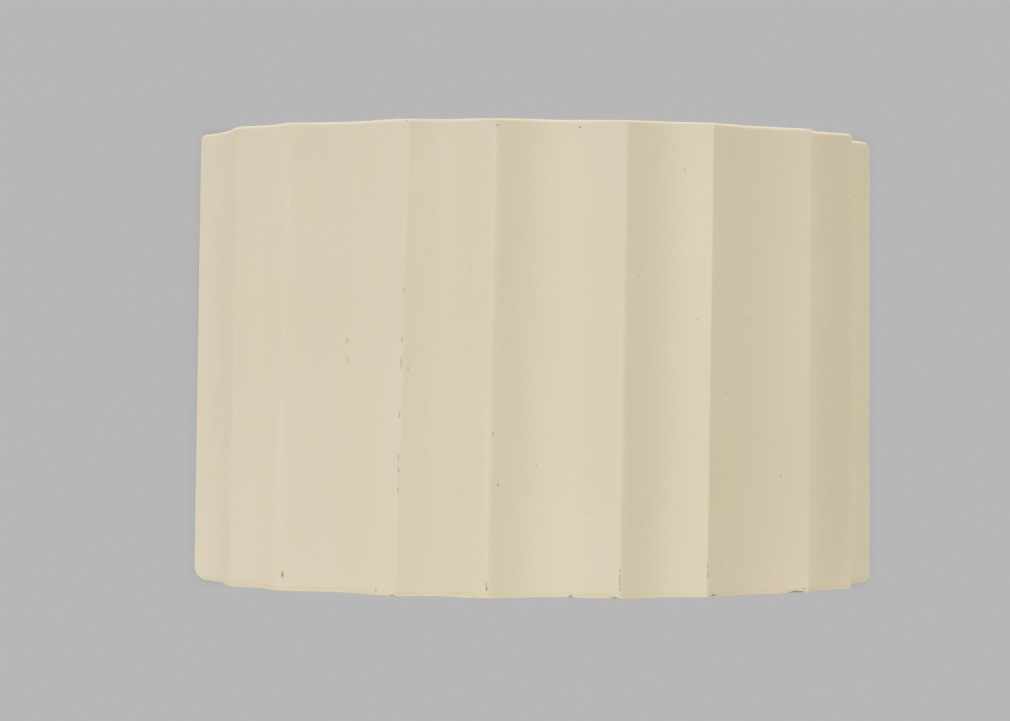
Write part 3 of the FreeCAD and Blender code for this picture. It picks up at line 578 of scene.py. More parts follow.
@dataclass(frozen=True)
class StripedSleeve(Finish):
    """Two-colour sleeve: a band of the second colour runs along both sides of the lead.

    The lead lies in one upright plane that leans back by a fixed slope from left to right.
    """

    stripe: Colour = (0.72, 0.52, 0.02)
    front: float = -8.0
    slope: float = 0.1407
    half_band: float = 0.5

    def paint(self, shader: Shader) -> None:
        """Draws the sleeve.

        Args:
            shader: the shader to add to.
        """
        across = shader.node("SeparateXYZ", None, {0: shader.place()}, "X")
        forward = shader.node("SeparateXYZ", None, {0: shader.place()}, "Y")
        offset = abs(forward - self.front * MM - across * self.slope)
        band = 1 - offset.fade((self.half_band - 0.06) * MM, (self.half_band + 0.06) * MM)
        skin = shader.noise(900.0, 2.0)
        tint = shader.mix(band, self.stripe, self.colour)
        tint = shader.mix(skin.fade(0.55, 0.8) * 0.2, tint, (0.2, 0.2, 0.1))
        shader.surface(tint, 0.44 + (skin - 0.5) * 0.2, shader.bump(skin, 0.012))


@dataclass(frozen=True)
class OpalGlass(Finish):
    """Milky white glass: smooth gloss over a soft body with faint blowing marks."""

    def paint(self, shader: Shader) -> None:
        """Draws the glass.

        Args:
            shader: the shader to add to.
        """
        swirl = shader.noise(48.0, 2.0, (1.0, 1.0, 2.4))
        dust = shader.noise(500.0, 3.0).fade(0.6, 0.85)
        tint = shader.mix(swirl.fade(0.3, 0.75) * 0.5, self.colour, shade_of(self.colour, 0.93))
        body = {"Subsurface Weight": 0.35, "Subsurface Scale": 0.004}
        gloss = {"Coat Weight": 0.6, "Coat Roughness": 0.05}
        shader.surface(tint, 0.14 + dust * 0.2, shader.bump(swirl, 0.06), {**body, **gloss})


# Meshes


@dataclass
class Shell:
    """Points in millimetres, and the faces between them."""

    points: Array
    faces: Array

    def placed(self, facing: Facing, spot: Sequence[float]) -> "Shell":
        """A copy whose axis points another way and whose origin is at a spot.

        Args:
            facing: where the axis points.
            spot: place of the origin, in millimetres.

        Returns:
            The placed copy.
        """
        return Shell(self.points @ np.array(facing.value, float) + np.array(spot, float), self.faces)


def joined(shells: Sequence[Shell]) -> Shell:
    """One shell from several.

    Args:
        shells: the shells, whose faces all have four corners.

    Returns:
        The shells together.
    """
    starts = np.cumsum([0] + [len(shell.points) for shell in shells[:-1]])
    faces = [shell.faces + start for shell, start in zip(shells, starts)]
    return Shell(np.concatenate([shell.points for shell in shells]), np.concatenate(faces))


def grid_faces(rows: int, columns: int, close_rows: bool, close_columns: bool) -> Array:
    """Quads of a grid whose points are stored row by row.

    Each face takes a point, the next one in its row, the one above that and the one above the
    first. A closed direction wraps round to its start.

    Args:
        rows: number of rows.
        columns: number of points in a row.
        close_rows: whether the last row meets the first.
        close_columns: whether the last column meets the first.

    Returns:
        One row of four point numbers for each face.
    """
    row = np.arange(rows if close_rows else rows - 1)[:, None]
    column = np.arange(columns if close_columns else columns - 1)[None, :]
    above, beside = (row + 1) % rows, (column + 1) % columns
    corners = (
        row * columns + column,
        row * columns + beside,
        above * columns + beside,
        above * columns + column,
    )
    return np.stack(np.broadcast_arrays(*corners), -1).reshape(-1, 4)


def spokes(count: int) -> Array:
    """Angles once round, as one row."""
    return np.linspace(0.0, FULL_TURN, count, endpoint=False)[None, :]


def rings(values: Sequence[float], count: int) -> Array:
    """One row for each value, the same at every angle."""
    return np.repeat(np.array(values, float)[:, None], count, axis=1)


def lathe(radius: Array, height: Array, closed: bool) -> Shell:
    """Carries a profile round an axis: x is radius times cosine, y radius times sine.

    Args:
        radius: radius for each profile row and each angle.
        height: height along the axis, for each row and angle.
        closed: whether the last profile row meets the first, as in a tube.

    Returns:
        The turned shell.
    """
    rows, count = radius.shape
    angle = spokes(count)
    height = np.broadcast_to(height, radius.shape)
    points = np.stack((radius * np.cos(angle), radius * np.sin(angle), height), -1)
    return Shell(points.reshape(-1, 3), grid_faces(rows, count, closed, True))


def ease(value: Array, start: float, end: float) -> Array:
    """Rises smoothly from 0 at start to 1 at end."""
    share = np.clip((value - start) / (end - start), 0.0, 1.0)
    return share * share * (3 - 2 * share)


def crowded(step: Array, pull: float) -> Array:
    """Steps from 0 to 1 that crowd towards both ends: s - pull sin(2 pi s) / (2 pi)."""
    return step - pull * np.sin(FULL_TURN * step) / FULL_TURN


def corner(away: Array, radius: float) -> Array:
    """Drop of a round corner: the radius less the height of a quarter circle, at a way from its end."""
    share = np.clip(away / radius, 0.0, 1.0)
    return radius * (1 - np.sqrt(1 - (1 - share) ** 2))


def from_arris(values: Array, flute: Array, share: Array) -> Array:
    """Goes by a share from each flute's first value to its last, with one value for each arris."""
    return values[flute] + (values[flute + 1] - values[flute]) * share


def ripple(seed: int, *axes: Array) -> Array:
    """Smooth unevenness between about -1 and 1: a sum of five waves with fixed random phases.

    Args:
        seed: picks the waves.
        axes: coordinates in units of a typical wave length.

    Returns:
        The unevenness at each point.
    """
    waves, drift, gain = 5, 0.35, 1.6
    draw = np.random.default_rng(seed)
    total = 0.0
    for _ in range(waves):
        turns = draw.uniform(-1.0, 1.0, len(axes)) + drift
        phase = draw.uniform(0.0, FULL_TURN)
        total = total + np.sin(FULL_TURN * sum(t * a for t, a in zip(turns, axes)) + phase)
    return total / waves * gain


@dataclass(frozen=True)
class Unevenness:
    """Ripples of a face: their seed, depth, waves for each radian and wave length up the height."""

    seed: int
    depth: float
    per_radian: float
    length: float

    def at(self, angle: Array, z: Array) -> Array:
        """The ripple at each point, about 0."""
        return self.depth * ripple(self.seed, angle * self.per_radian, z / self.length)


@dataclass(frozen=True)
class Piece:
    """A made piece: its name, its body and the nodes that it stands for.

    Edges that turn by more degrees than the crease stay sharp.
    """

    name: str
    body: Body
    nodes: tuple[str, ...]
    crease: float = 38.0

    @property
    def slot(self) -> str:
        """The material slot of its first node."""
        return slot_of(self.nodes[0])

    def put(self, shells: Sequence[Shell], paints: "Paintbox") -> None:
        """Puts closed shells into the scene as one mesh.

        Args:
            shells: the shells.
            paints: where its material comes from.
        """
        shell = joined(shells)
        mesh = bpy.data.meshes.new(self.name)
        mesh.from_pydata(shell.points * MM, [], shell.faces.tolist())
        work = bmesh.new()
        work.from_mesh(mesh)
        bmesh.ops.remove_doubles(work, verts=work.verts, dist=WELD)
        bmesh.ops.recalc_face_normals(work, faces=work.faces)
        work.to_mesh(mesh)
        work.free()
        self.settle(mesh, paints)

    def settle(self, mesh: bpy.types.Mesh, paints: "Paintbox") -> None:
        """Links a mesh, gives it its material, puts it on its body, hides the nodes that it stands for, and
        reports it.

        Args:
            mesh: the finished mesh, in metres.
            paints: where its material comes from.
        """
        mesh.shade_smooth()
        mesh.set_sharp_from_angle(angle=math.radians(self.crease))
        mesh.materials.append(paints.of(self.nodes[0]))
        made = bpy.data.objects.new(self.name, mesh)
        bpy.context.scene.collection.objects.link(made)
        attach(made, self.body.value)
        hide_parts(*self.nodes)
        self.slot
        LOG.info("%s: %d faces on %s", self.name, len(mesh.polygons), self.body.value)


# Shade


@dataclass
class PlasterShade:
    """The cast shade: a fluted segment of a circle in plan, open above, below and behind.

    The arrises lean a little and are not equally crisp, as the mould was cut by hand.
    """

    half_height: float = 111.0
    plan_radius: float = 171.0
    centre_back: float = 21.333
    hollow_radius: float = 147.6
    return_face: float = 136.0
    return_round: float = 6.0
    narrow_share: float = 0.69
    wide_depth: float = 8.0
    narrow_depth: float = 5.4
    depth_share: Row = (0.45, 0.56, 0.95, 1.35, 1.31, 1.02, 0.82, 1.3, 1.2)
    skew: Row = (-0.4, -0.3, -0.35, -0.5, 0.0, 0.2, 0.0, -0.1, 0.0)
    rim_round: float = 1.7
    foot_wear: float = 0.15
    top_wear: Row = (0.3, 0.1, 0.1, 0.25, 0.5, 0.6, 0.4, 0.2, 0.1, 0.3)
    rim_crown: float = 0.064
    comb_depth: float = 0.9
    comb: Unevenness = Unevenness(21, 1.0, 7.0, 26)
    comb_end: Span = (0.95, 1.05)
    lip_round: float = 1.2
    ledge: float = 4.0
    left_foot_round: float = 5.0
    left_top_round: float = 1.0
    right_round: float = 2.5
    right_foot_share: float = 0.6
    chip_reach: float = 1.5
    chip_share: float = 0.6
    swell: Unevenness = Unevenness(3, 0.16, 2.2, 90)
    waver: Unevenness = Unevenness(5, 0.05, 6.0, 33)
    skin_inset: float = 0.2
    rim_waver: float = 0.03
    foot_wave: float = 70.0
    top_wave: float = 80.0
    top_lean: Row = (0, 5, 0.5, 5, 2.5, 0, 0.5, 0.5, -1, 0)
    foot_lean: Row = (0, -1.5, -6, -0.5, -0.5, -2, -1.5, 1, 2, 0)
    arris_round: Row = (0.6, 4.5, 8.0, 2.4, 3.4, 3.4, 1.3, 1.2, 1.2, 0.5)
    flaws: tuple[Flaw, ...] = ()
    left_taper: float = 1.9
    right_taper: float = 1.4
    taper_from: float = 1.0
    column_pull: float = 0.8
    row_pull: float = 0.55
    wide_columns: int = 52
    narrow_columns: int = 38
    outer_rows: int = 118
    inner_rows: int = 22
    rim_steps: int = 7
    arc_steps: int = 80
    bend_steps: int = 12
    run_steps: int = 40
    crease: float = 50.0

    @property
    def wide(self) -> Array:
        """Whether each flute is one of the wide ones."""
        return np.arange(FLUTES) % 2 == 0

    @property
    def half_sweep(self) -> float:
        """Half the angle that the plan curve spans, out to the wall."""
        return math.acos(self.centre_back / self.plan_radius)

    @property
    def arris_angles(self) -> Array:
        """Angle of each arris from straight ahead, before any lean."""
        parts = np.where(self.wide, 1.0, self.narrow_share)
        ends = np.concatenate(([0.0], np.cumsum(parts)))
        return (2 * ends / ends[-1] - 1) * self.half_sweep

    @property
    def depths(self) -> Array:
        """Depth of each flute under a straightedge from arris to arris."""
        return np.where(self.wide, self.wide_depth, self.narrow_depth) * np.array(self.depth_share)

    @property
    def arris_marks(self) -> Row:
        """Way of each arris along the plan curve, in millimetres, as the UV map has it."""
        return tuple(self.arris_angles * self.plan_radius)

    def columns(self) -> tuple[Array, Array]:
        """Flute number and way across the flute for each column. Columns crowd towards the arrises.

        Returns:
            The flute numbers and the ways across, from 0 to 1.
        """
        flutes, ways = [], []
        for flute, wide in enumerate(self.wide):
            count = self.wide_columns if wide else self.narrow_columns
            step = np.arange(count + (flute == FLUTES - 1)) / count
            ways.append(crowded(step, self.column_pull))
            flutes.append(np.full(len(step), flute))
        return np.concatenate(flutes), np.concatenate(ways)

    def loop(self) -> tuple[Array, Array, Array, Array]:
        """One closed line round the section, from the foot up the outside and down the inside.

        Returns:
            For each row: the share of the height between the rims, the rise beyond that share in
            millimetres, the inset from the outer face and the inset from the inner face. An inset
            that does not count is not a number.
        """
        none = np.nan
        rim, lip = self.rim_round, self.lip_round
        turn = np.radians(np.linspace(0.0, 90.0, self.rim_steps))
        climb = crowded(np.linspace(0.0, 1.0, self.outer_rows), self.row_pull)
        rows = [(share, 0.0, 0.0, none) for share in climb]
        rows += [(1.0, rim * math.sin(a), rim * (1 - math.cos(a)), none) for a in turn[1:]]
        rows += [(1.0, rim, none, lip + self.ledge)]
        rows += [(1.0, rim - lip * (1 - math.cos(a)), none, lip * (1 - math.sin(a))) for a in turn[::2]]
        rows += [(share, 0.0, none, 0.0) for share in np.linspace(0.985, 0.015, self.inner_rows)]
        rows += [(0.0, lip * (1 - math.cos(a)) - rim, none, lip * (1 - math.sin(a))) for a in turn[::-2]]
        rows += [(0.0, -rim, none, lip + self.ledge)]
        rows += [(0.0, -rim * math.sin(a), rim * (1 - math.cos(a)), none) for a in turn[:0:-1]]
        return tuple(np.array(part, float)[:, None] for part in zip(*rows))

    def hollow_line(self, angle: Array) -> tuple[Array, Array]:
        """The inner face in plan: an arc, a rounded corner and a straight return on each side.

        Args:
            angle: angle of each column from straight ahead.

        Returns:
            x and y of the inner face for each column.
        """
        middle_x = self.return_face - self.return_round
        middle = self.hollow_radius - self.return_round
        middle_y = self.centre_back - math.sqrt(middle**2 - middle_x**2)
        join = math.asin(middle_x / middle)
        sweep = np.linspace(0.0, join, self.arc_steps)
        bend = np.linspace(join, math.pi / 2, self.bend_steps)[1:]
        run = np.linspace(middle_y, 0.0, self.run_steps)[1:]
        x = np.concatenate((
            self.hollow_radius * np.sin(sweep),
            middle_x + self.return_round * np.sin(bend),
            np.full(len(run), self.return_face),
        ))
        y = np.concatenate((
            self.centre_back - self.hollow_radius * np.cos(sweep),
            middle_y - self.return_round * np.cos(bend),
            run,
        ))
        way = np.concatenate(([0.0], np.cumsum(np.hypot(np.diff(x), np.diff(y)))))
        arc = self.hollow_radius * join
        wanted = np.interp(np.abs(angle), (0.0, join, self.half_sweep), (0.0, arc, way[-1]))
        return np.sign(angle) * np.interp(wanted, way, x), np.interp(wanted, way, y)

    def outer_face(self, z: Array, flute: Array, way: Array) -> tuple[Array, Array]:
        """The fluted face in plan at each height.

        Across a flute, with s from -1 to 1, the drop under the plan circle is that of the skewed parabola
        T = D (1 - s squared) (1 + k s), rounded at the arrises: the root of T squared plus c squared, less c.
        Each arris leans from its place at the foot to its place at the top in a straight line.

        Args:
            z: height of each point.
            flute: flute number of each column.
            way: way across the flute of each column.

        Returns:
            x and y of each point.
        """
        z = np.broadcast_to(z, (len(z), len(way)))
        rise = (z / self.half_height + 1) / 2
        foot, top = (np.array(lean)[:, None, None] for lean in (self.foot_lean, self.top_lean))
        lean = foot * (1 - rise) + top * rise
        columns = np.arange(len(way))
        nominal = self.arris_angles
        first = nominal[flute] + lean[flute, :, columns].T / self.plan_radius
        last = nominal[flute + 1] + lean[flute + 1, :, columns].T / self.plan_radius
        angle = first + (last - first) * way
        half = (nominal[flute + 1] - nominal[flute]) / 2
        deep = self.plan_radius * (1 - np.cos(half)) + self.depths[flute]
        slope = 2 * deep / (self.plan_radius * np.sin(half))
        tip = slope**2 * from_arris(np.array(self.arris_round), flute, ease(way, 0.0, 1.0))
        across = 2 * way - 1
        trough = (deep + tip) * (1 - across**2) * (1 + np.array(self.skew)[flute] * across)
        drop = np.sqrt(trough**2 + tip**2) - tip
        calm = 1 - across**8
        uneven = self.swell.at(angle, z) + self.waver.at(angle, z)
        radius = self.plan_radius - drop - (uneven + self.skin_inset) * calm
        x = radius * np.sin(angle)
        y = np.minimum(self.centre_back - radius * np.cos(angle), 0.0)
        outer = ease(np.abs(angle), self.taper_from, self.half_sweep)
        taper = np.where(angle < 0, self.left_taper, -self.right_taper)
        return x + outer * taper * rise, y

    def broken(self, angle: Array, top: bool) -> Array:
        """How much of a rim is chipped off: a bell exp(-(d / w) squared) for each flaw at that rim.

        Args:
            angle: angle of each column.
            top: whether it is the top rim.

        Returns:
            The loss of height of each column, in millimetres.
        """
        lost = np.zeros(len(angle))
        for flaw in self.flaws:
            if abs(flaw.level) > self.half_height - self.chip_reach and (flaw.level > 0) == top:
                away = angle * self.plan_radius - self.arris_marks[flaw.arris] - flaw.offset
                lost += self.chip_share * flaw.half_height * np.exp(-((away / flaw.half_width) ** 2))
        return lost

    def rims(self, x: Array, flute: Array, way: Array, angle: Array) -> tuple[Array, Array]:
        """Foot and top height of each column: rubbed down towards the arrises, with round corners.

        With s from -1 to 1 across a flute of depth D, a rim is lower by the wear, which runs straight from
        arris to arris, less a crown of c D (1 - s squared).

        Args:
            x: place of each column's outer face.
            flute: flute number of each column.
            way: way across the flute of each column.
            angle: angle of each column from straight ahead.

        Returns:
            Foot and top heights.
        """
        crown = self.rim_crown * self.depths[flute] * (1 - (2 * way - 1) ** 2)
        lower = np.maximum(from_arris(np.array(self.top_wear), flute, way) - crown, 0.0)
        higher = np.maximum(self.foot_wear - crown, 0.0)
        rise = self.rim_waver * (1 + ripple(11, x / self.foot_wave))
        sink = self.rim_waver * (1 + ripple(13, x / self.top_wave))
        foot = -self.half_height + higher + rise + self.broken(angle, False)
        top = self.half_height - lower - sink - self.broken(angle, True)
        left, worn = x - x.min(), corner(x.max() - x, self.right_round)
        foot = foot + corner(left, self.left_foot_round) + worn * self.right_foot_share
        return foot, top - worn - corner(left, self.left_top_round)

    def build(self, paints: "Paintbox") -> None:
        """Builds the shade as one closed skin and closes its two flat ends at the wall.

        Args:
            paints: where the plaster comes from.
        """
        flute, way = self.columns()
        share, rise, outset, inset = self.loop()
        angle = from_arris(self.arris_angles, flute, way)
        middle_x, _ = self.outer_face(np.zeros((1, 1)), flute, way)
        foot, top = self.rims(middle_x[0], flute, way, angle)
        whole = ~np.isnan(inset)
        low = foot + self.rim_round - whole * self.broken(angle, False)
        high = top - self.rim_round + whole * self.broken(angle, True)
        z = low + (high - low) * share + rise
        outer_x, outer_y = self.outer_face(np.clip(z, -self.half_height, self.half_height), flute, way)
        inner_x, inner_y = self.hollow_line(angle)
        gap = np.hypot(outer_x - inner_x, outer_y - inner_y)
        calm = 1 - ease(np.abs(angle), *self.comb_end)
        combed = self.comb_depth * calm * (1 + self.comb.at(angle, z)) / 2
        hollowed = np.nan_to_num(inset) + combed * (np.nan_to_num(rise) == 0)
        blend = np.where(np.isnan(inset), np.nan_to_num(outset) / gap, 1 - hollowed / gap)
        x = outer_x + (inner_x - outer_x) * blend
        y = outer_y + (inner_y - outer_y) * blend
        rows, count = x.shape
        faces = grid_faces(rows, count, True, False).tolist()
        faces.append((np.arange(rows) * count).tolist())
        faces.append((np.arange(rows)[::-1] * count + count - 1).tolist())
        piece = Piece("fluted_shade", Body.SHADE, ("plaster_shade",), self.crease)
        mesh = bpy.data.meshes.new(piece.name)
        mesh.from_pydata(np.stack((x, y, z), -1).reshape(-1, 3) * MM, [], faces)
        aside = np.where(np.isnan(inset), 0.0, INSIDE_SHIFT / MM)
        flat = np.stack(np.broadcast_arrays(angle * self.plan_radius + aside, z), -1).reshape(-1, 2) * MM
        corners = np.empty(len(mesh.loops), np.int32)
        mesh.loops.foreach_get("vertex_index", corners)
        mesh.uv_layers.new(name="plan").uv.foreach_set("vector", flat[corners].astype(np.float32).ravel())
        piece.settle(mesh, paints)


# Threads, nuts and screws


@dataclass(frozen=True)
class Thread:
    """A screw thread: crest radius, depth and pitch, with round or pointed crests."""

    radius: float
    depth: float
    pitch: float
    rounded: bool = False

    def cut(self, height: Array, share: Array, count: int) -> Array:
        """Radius of the thread: crest less depth times a wave of height over pitch less the turn.

        Args:
            height: heights along the axis, as a column.
            share: how deep the thread is at each height, from 0 to 1.
            count: number of angles.

        Returns:
            The radius for each height and angle.
        """
        phase = height / self.pitch - spokes(count) / FULL_TURN
        wave = (1 - np.cos(FULL_TURN * phase)) / 2 if self.rounded else np.abs(2 * (phase % 1) - 1)
        return self.radius - self.depth * share * wave

    def rod(self, low: float, high: float, bare: float, bore: float = 0.0) -> Shell:
        """A threaded rod or tube, chamfered at its foot and worn at its top.

        Args:
            low: foot of the rod.
            high: top of the rod.
            bare: height of the smooth part above the foot.
            bore: radius of a hole right through, or 0.

        Returns:
            The rod.
        """
        chamfer, end, root, smooth = 0.25, 0.3, 1.1, 0.9
        height = np.arange(low + bare, high - end, self.pitch / PITCH_STEPS)[:, None]
        share = ease(height, low + bare, low + bare + self.pitch)
        worn = self.radius - self.depth * ease(height, high - self.pitch, high)
        skin = np.minimum(self.cut(height, share, ROD_SIDES), worn)
        foot = rings((bore, self.radius - chamfer, self.radius, self.radius), ROD_SIDES)
        top = rings((self.radius - self.depth * root, bore), ROD_SIDES)
        levels = np.array([low, low, low + chamfer, low + bare * smooth])[:, None]
        height = np.concatenate((levels, height, [[high], [high]]))
        return lathe(np.concatenate((foot, skin, top)), height, bore > 0)


@dataclass(frozen=True)
class HexNut:
    """A hexagon nut with both faces chamfered and a wider lead into both ends of its bore."""

    across: float
    height: float
    bore: float
    lead: float = 0.35
    cone_share: float = 0.475
    cone_slope: float = 1.7
    flank_rows: Row = (0.0, 0.02, 0.05, 0.09, 0.14, 0.2, 0.28)

    def shell(self, start: float) -> Shell:
        """The nut: a hexagon's radius, never more than that of a cone at each face.

        Args:
            start: height of its lower face.

        Returns:
            The nut.
        """
        sixth = math.pi / 3
        hexagon = self.across / 2 / np.cos((spokes(HEAD_SIDES) + sixth / 2) % sixth - sixth / 2)
        rise = np.array(self.flank_rows)[:, None] * self.height
        level = np.concatenate((rise, self.height - rise[::-1]))
        end = np.minimum(level, self.height - level)
        flank = np.minimum(hexagon, self.across * self.cone_share + end * self.cone_slope)
        wide = self.bore + self.lead
        bores = rings((wide, self.bore, self.bore, wide), HEAD_SIDES)
        heights = np.array([self.height, self.height - self.lead, self.lead, 0.0])[:, None]
        return lathe(np.concatenate((flank, bores)), start + np.concatenate((level, heights)), True)


@dataclass(frozen=True)
class Screw:
    """A screw: head size, recess and a threaded shank under the head.

    The recess is deep by a share of the head's height, and its edges are shares of the head's radius.
    """

    head_radius: float
    head_height: float
    crown: float
    recess: Recess
    thread: Thread
    length: float
    slot_depth: float = 0.5
    slot_edge: Span = (0.15, 0.24)
    cross_depth: float = 0.62
    arm_edge: Span = (0.13, 0.22)
    arm_end: Span = (0.45, 0.66)

    def within(self, way: Array, edge: Span) -> Array:
        """1 up to the edge's first share of the head's radius, and 0 from its second."""
        return 1 - ease(way, *(share * self.head_radius for share in edge))

    def sunk(self, radius: Array, angle: Array) -> Array:
        """Depth of the recess: a slot right across, or two short crossed ones.

        Args:
            radius: distance from the axis.
            angle: angle round it.

        Returns:
            The depth at each point.
        """
        across, along = np.abs(radius * np.sin(angle)), np.abs(radius * np.cos(angle))
        if self.recess is Recess.SLOT:
            return self.slot_depth * self.head_height * self.within(across, self.slot_edge)
        arms = [
            self.within(aside, self.arm_edge) * self.within(out, self.arm_end)
            for aside, out in ((across, along), (along, across))
        ]
        return self.cross_depth * self.head_height * np.maximum(*arms)

    def shell(self) -> Shell:
        """The screw, with its head's underside at height 0 and its shank below.

        Returns:
            The screw.
        """
        share = rings((*np.linspace(0.0, 0.88, 22), 0.92, 0.955, 0.98, 0.995, 1.0), HEAD_SIDES)
        ring = share * self.head_radius
        dome = self.head_height - self.crown * share**2.4 - 0.3 * self.head_height * ease(share, 0.86, 1.0)
        neck, end, edge = 0.5, 0.4, 0.1
        shank = np.arange(-neck, -self.length + end, -self.thread.pitch / PITCH_STEPS)[:, None]
        cut = self.thread.cut(shank, ease(-shank, neck, neck + self.thread.pitch), HEAD_SIDES)
        size = self.thread.radius
        under = rings((self.head_radius, self.head_radius - edge, size + 0.05), HEAD_SIDES)
        radius = np.concatenate((ring, under, cut, rings((size * 0.7, 0.0), HEAD_SIDES)))
        height = (edge, 0.0, 0.0, *shank[:, 0], -self.length, -self.length)
        top = dome - self.sunk(ring, spokes(HEAD_SIDES))
        return lathe(radius, np.concatenate((top, rings(height, HEAD_SIDES))), False)


@dataclass
class StrapScrews:
    """Four cross-recess pan screws that hold the strap's ears to the shade."""

    seat: float = 132.8
    forward: Row = (-11.4, -23.4)
    level: float = 52.0
    screw: Screw = Screw(3.9, 2.6, 0.7, Recess.CROSS, Thread(2.0, 0.3, 0.7), 12.0)

    def build(self, paints: "Paintbox") -> None:
        """Sets the screws, heads towards the middle.

        Args:
            paints: where materials come from.
        """
        made = self.screw.shell()
        ends = ((Facing.TO_RIGHT, -self.seat), (Facing.TO_LEFT, self.seat))
        shells = [made.placed(facing, (x, y, self.level)) for facing, x in ends for y in self.forward]
        Piece("pan_head_screws", Body.SHADE, ("strap_screws",)).put(shells, paints)


@dataclass
class PlateStuds:
    """Threaded studs of the wall plate, and their nuts."""

    arm_studs: tuple[Span, ...] = ((-62, -45), (-62, -58), (62, -45), (62, -58))
    earth_stud: Span = (27, -30)
    length: float = 11.0
    bare: float = 2.2
    arm_seat: float = 4.8
    earth_seat: float = 3.6
    thread: Thread = Thread(2.0, 0.35, 0.7)
    nut: HexNut = HexNut(7.0, 3.2, 2.05)

    def build(self, paints: "Paintbox") -> None:
        """Sets the studs and nuts, pointing away from the wall.

        Args:
            paints: where materials come from.
        """
        stud = self.thread.rod(0.0, self.length, self.bare)
        spots = [(x, 0, z) for x, z in (*self.arm_studs, self.earth_stud)]
        studs = [stud.placed(Facing.FRONT, spot) for spot in spots]
        Piece("threaded_studs", Body.FITTING, ("plate_studs",)).put(studs, paints)
        seats = [self.arm_seat] * len(self.arm_studs) + [self.earth_seat]
        nuts = [self.nut.shell(seat).placed(Facing.FRONT, spot) for seat, spot in zip(seats, spots)]
        Piece("hexagon_nuts", Body.FITTING, ("stud_nuts",), NUT_CREASE).put(nuts, paints)


@dataclass
class ConnectorScrews:
    """Slotted screws of the connector: six clamp screws and two that hold the block."""

    poles: Row = (-11, 0, 11)
    levels: Row = (-34, -26)
    clamp_top: float = -13.5
    clamp: Screw = Screw(1.5, 1.2, 0.0, Recess.SLOT, Thread(1.5, 0.2, 0.5), 3.6)
    holder_spots: Row = (-5.5, 5.5)
    holder_level: float = -30.0
    holder_seat: float = -15.0
    holder: Screw = Screw(2.7, 1.8, 0.15, Recess.SLOT, Thread(1.5, 0.2, 0.5), 15.0)

    def build(self, paints: "Paintbox") -> None:
        """Sets both kinds of screw, heads to the front.

        Args:
            paints: where materials come from.
        """
        seat = self.clamp_top + self.clamp.head_height
        clamps = [(x, seat, z) for x in self.poles for z in self.levels]
        holders = [(x, self.holder_seat, self.holder_level) for x in self.holder_spots]
        for name, node, screw, spots in (
            ("clamp_screws", "terminal_screws", self.clamp, clamps),
            ("cheese_head_screws", "block_screws", self.holder, holders),
        ):
            made = screw.shell()
            shells = [made.placed(Facing.FRONT, spot) for spot in spots]
            Piece(name, Body.FITTING, (node,)).put(shells, paints)


# Lamp holders and lamps


@dataclass
class LampHolder:
    """Threaded and ribbed pieces of one screw holder, on the axis of its lamp."""

    side: Side
    nipple: Thread = Thread(5.0, 0.45, 1.0)
    nipple_ends: Span = (-84.0, -64.0)
    nipple_bare: float = 0.6
    nipple_bore: float = 3.4
    shell_thread: Thread = Thread(7.7, 0.55, 2.82, True)
    shell_ends: Span = (-56.0, -41.5)
    shell_wall: float = 0.45
    shell_rows: int = 62
    shell_start: float = 2.0
    shell_fade: Span = (1.2, 0.2)
    ribs: int = 40
    rib_depth: float = 0.45
    rib_ends: Span = (-54.5, -36.0)
    ribbed_from: float = 14.0
    rib_fade: float = 0.6
    rib_points: int = 8
    rib_edge: Span = (0.1, 0.7)
    skirt_outline: tuple[Span, ...] = (
        (13.0, -58.0), (14.2, -58.0), (14.5, -57.7), (14.5, -55.0), (14.5, -54.6), (14.5, -54.0),
        (14.5, -48.0), (14.5, -42.0), (14.5, -36.4), (14.5, -35.9), (14.5, -35.4), (14.5, -31.0),
        (14.35, -30.2), (13.9, -29.5), (13.3, -29.1), (12.5, -29.0), (10.1, -29.0), (9.7, -29.4),
        (9.7, -32.0), (12.3, -32.0), (12.3, -50.0), (13.0, -50.0),
    )

    def skirt(self) -> Shell:
        """The skirt: its turned outline with upright grooves of a smoothed square wave.

        Returns:
            The skirt.
        """
        outline = np.array(self.skirt_outline)
        radius, height = outline[:, :1], outline[:, 1:]
        low, high = self.rib_ends
        band = ease(height, low - self.rib_fade, low) * (1 - ease(height, high, high + self.rib_fade))
        band = band * (radius > self.ribbed_from)
        groove = ease(np.cos(spokes(self.ribs * self.rib_points) * self.ribs), *self.rib_edge)
        return lathe(radius - self.rib_depth * band * groove, height, True)

    def screw_shell(self) -> Shell:
        """The rolled shell: one threaded wall that its other side follows.

        Returns:
            The shell.
        """
        low, high = self.shell_ends
        height = np.linspace(low, high, self.shell_rows)[:, None]
        fade = 1 - ease(height, *(high - back for back in self.shell_fade))
        share = ease(height, low, low + self.shell_start) * fade
        outer = self.shell_thread.cut(height, share, ROLLED_SIDES)
        radius = np.concatenate((outer, outer[::-1] - self.shell_wall))
        return lathe(radius, np.concatenate((height, height[::-1])), True)

    def build(self, paints: "Paintbox") -> None:
        """Sets the nipple, the skirt and the screw shell.

        Args:
            paints: where materials come from.
        """
        label = self.side.label
        nipple = self.nipple.rod(*self.nipple_ends, self.nipple_bare, self.nipple_bore)
        for name, node, shell, crease in (
            ("threaded_nipple", "nipple", nipple, 38.0),
            ("ribbed_skirt", "holder_skirt", self.skirt(), 45.0),
            ("rolled_shell", "screw_shell", self.screw_shell(), 60.0),
        ):
            piece = Piece(f"{name}_{label}", Body.FITTING, (f"{node}_{label}",), crease)
            piece.put([shell.placed(Facing.UP, self.side.axis)], paints)


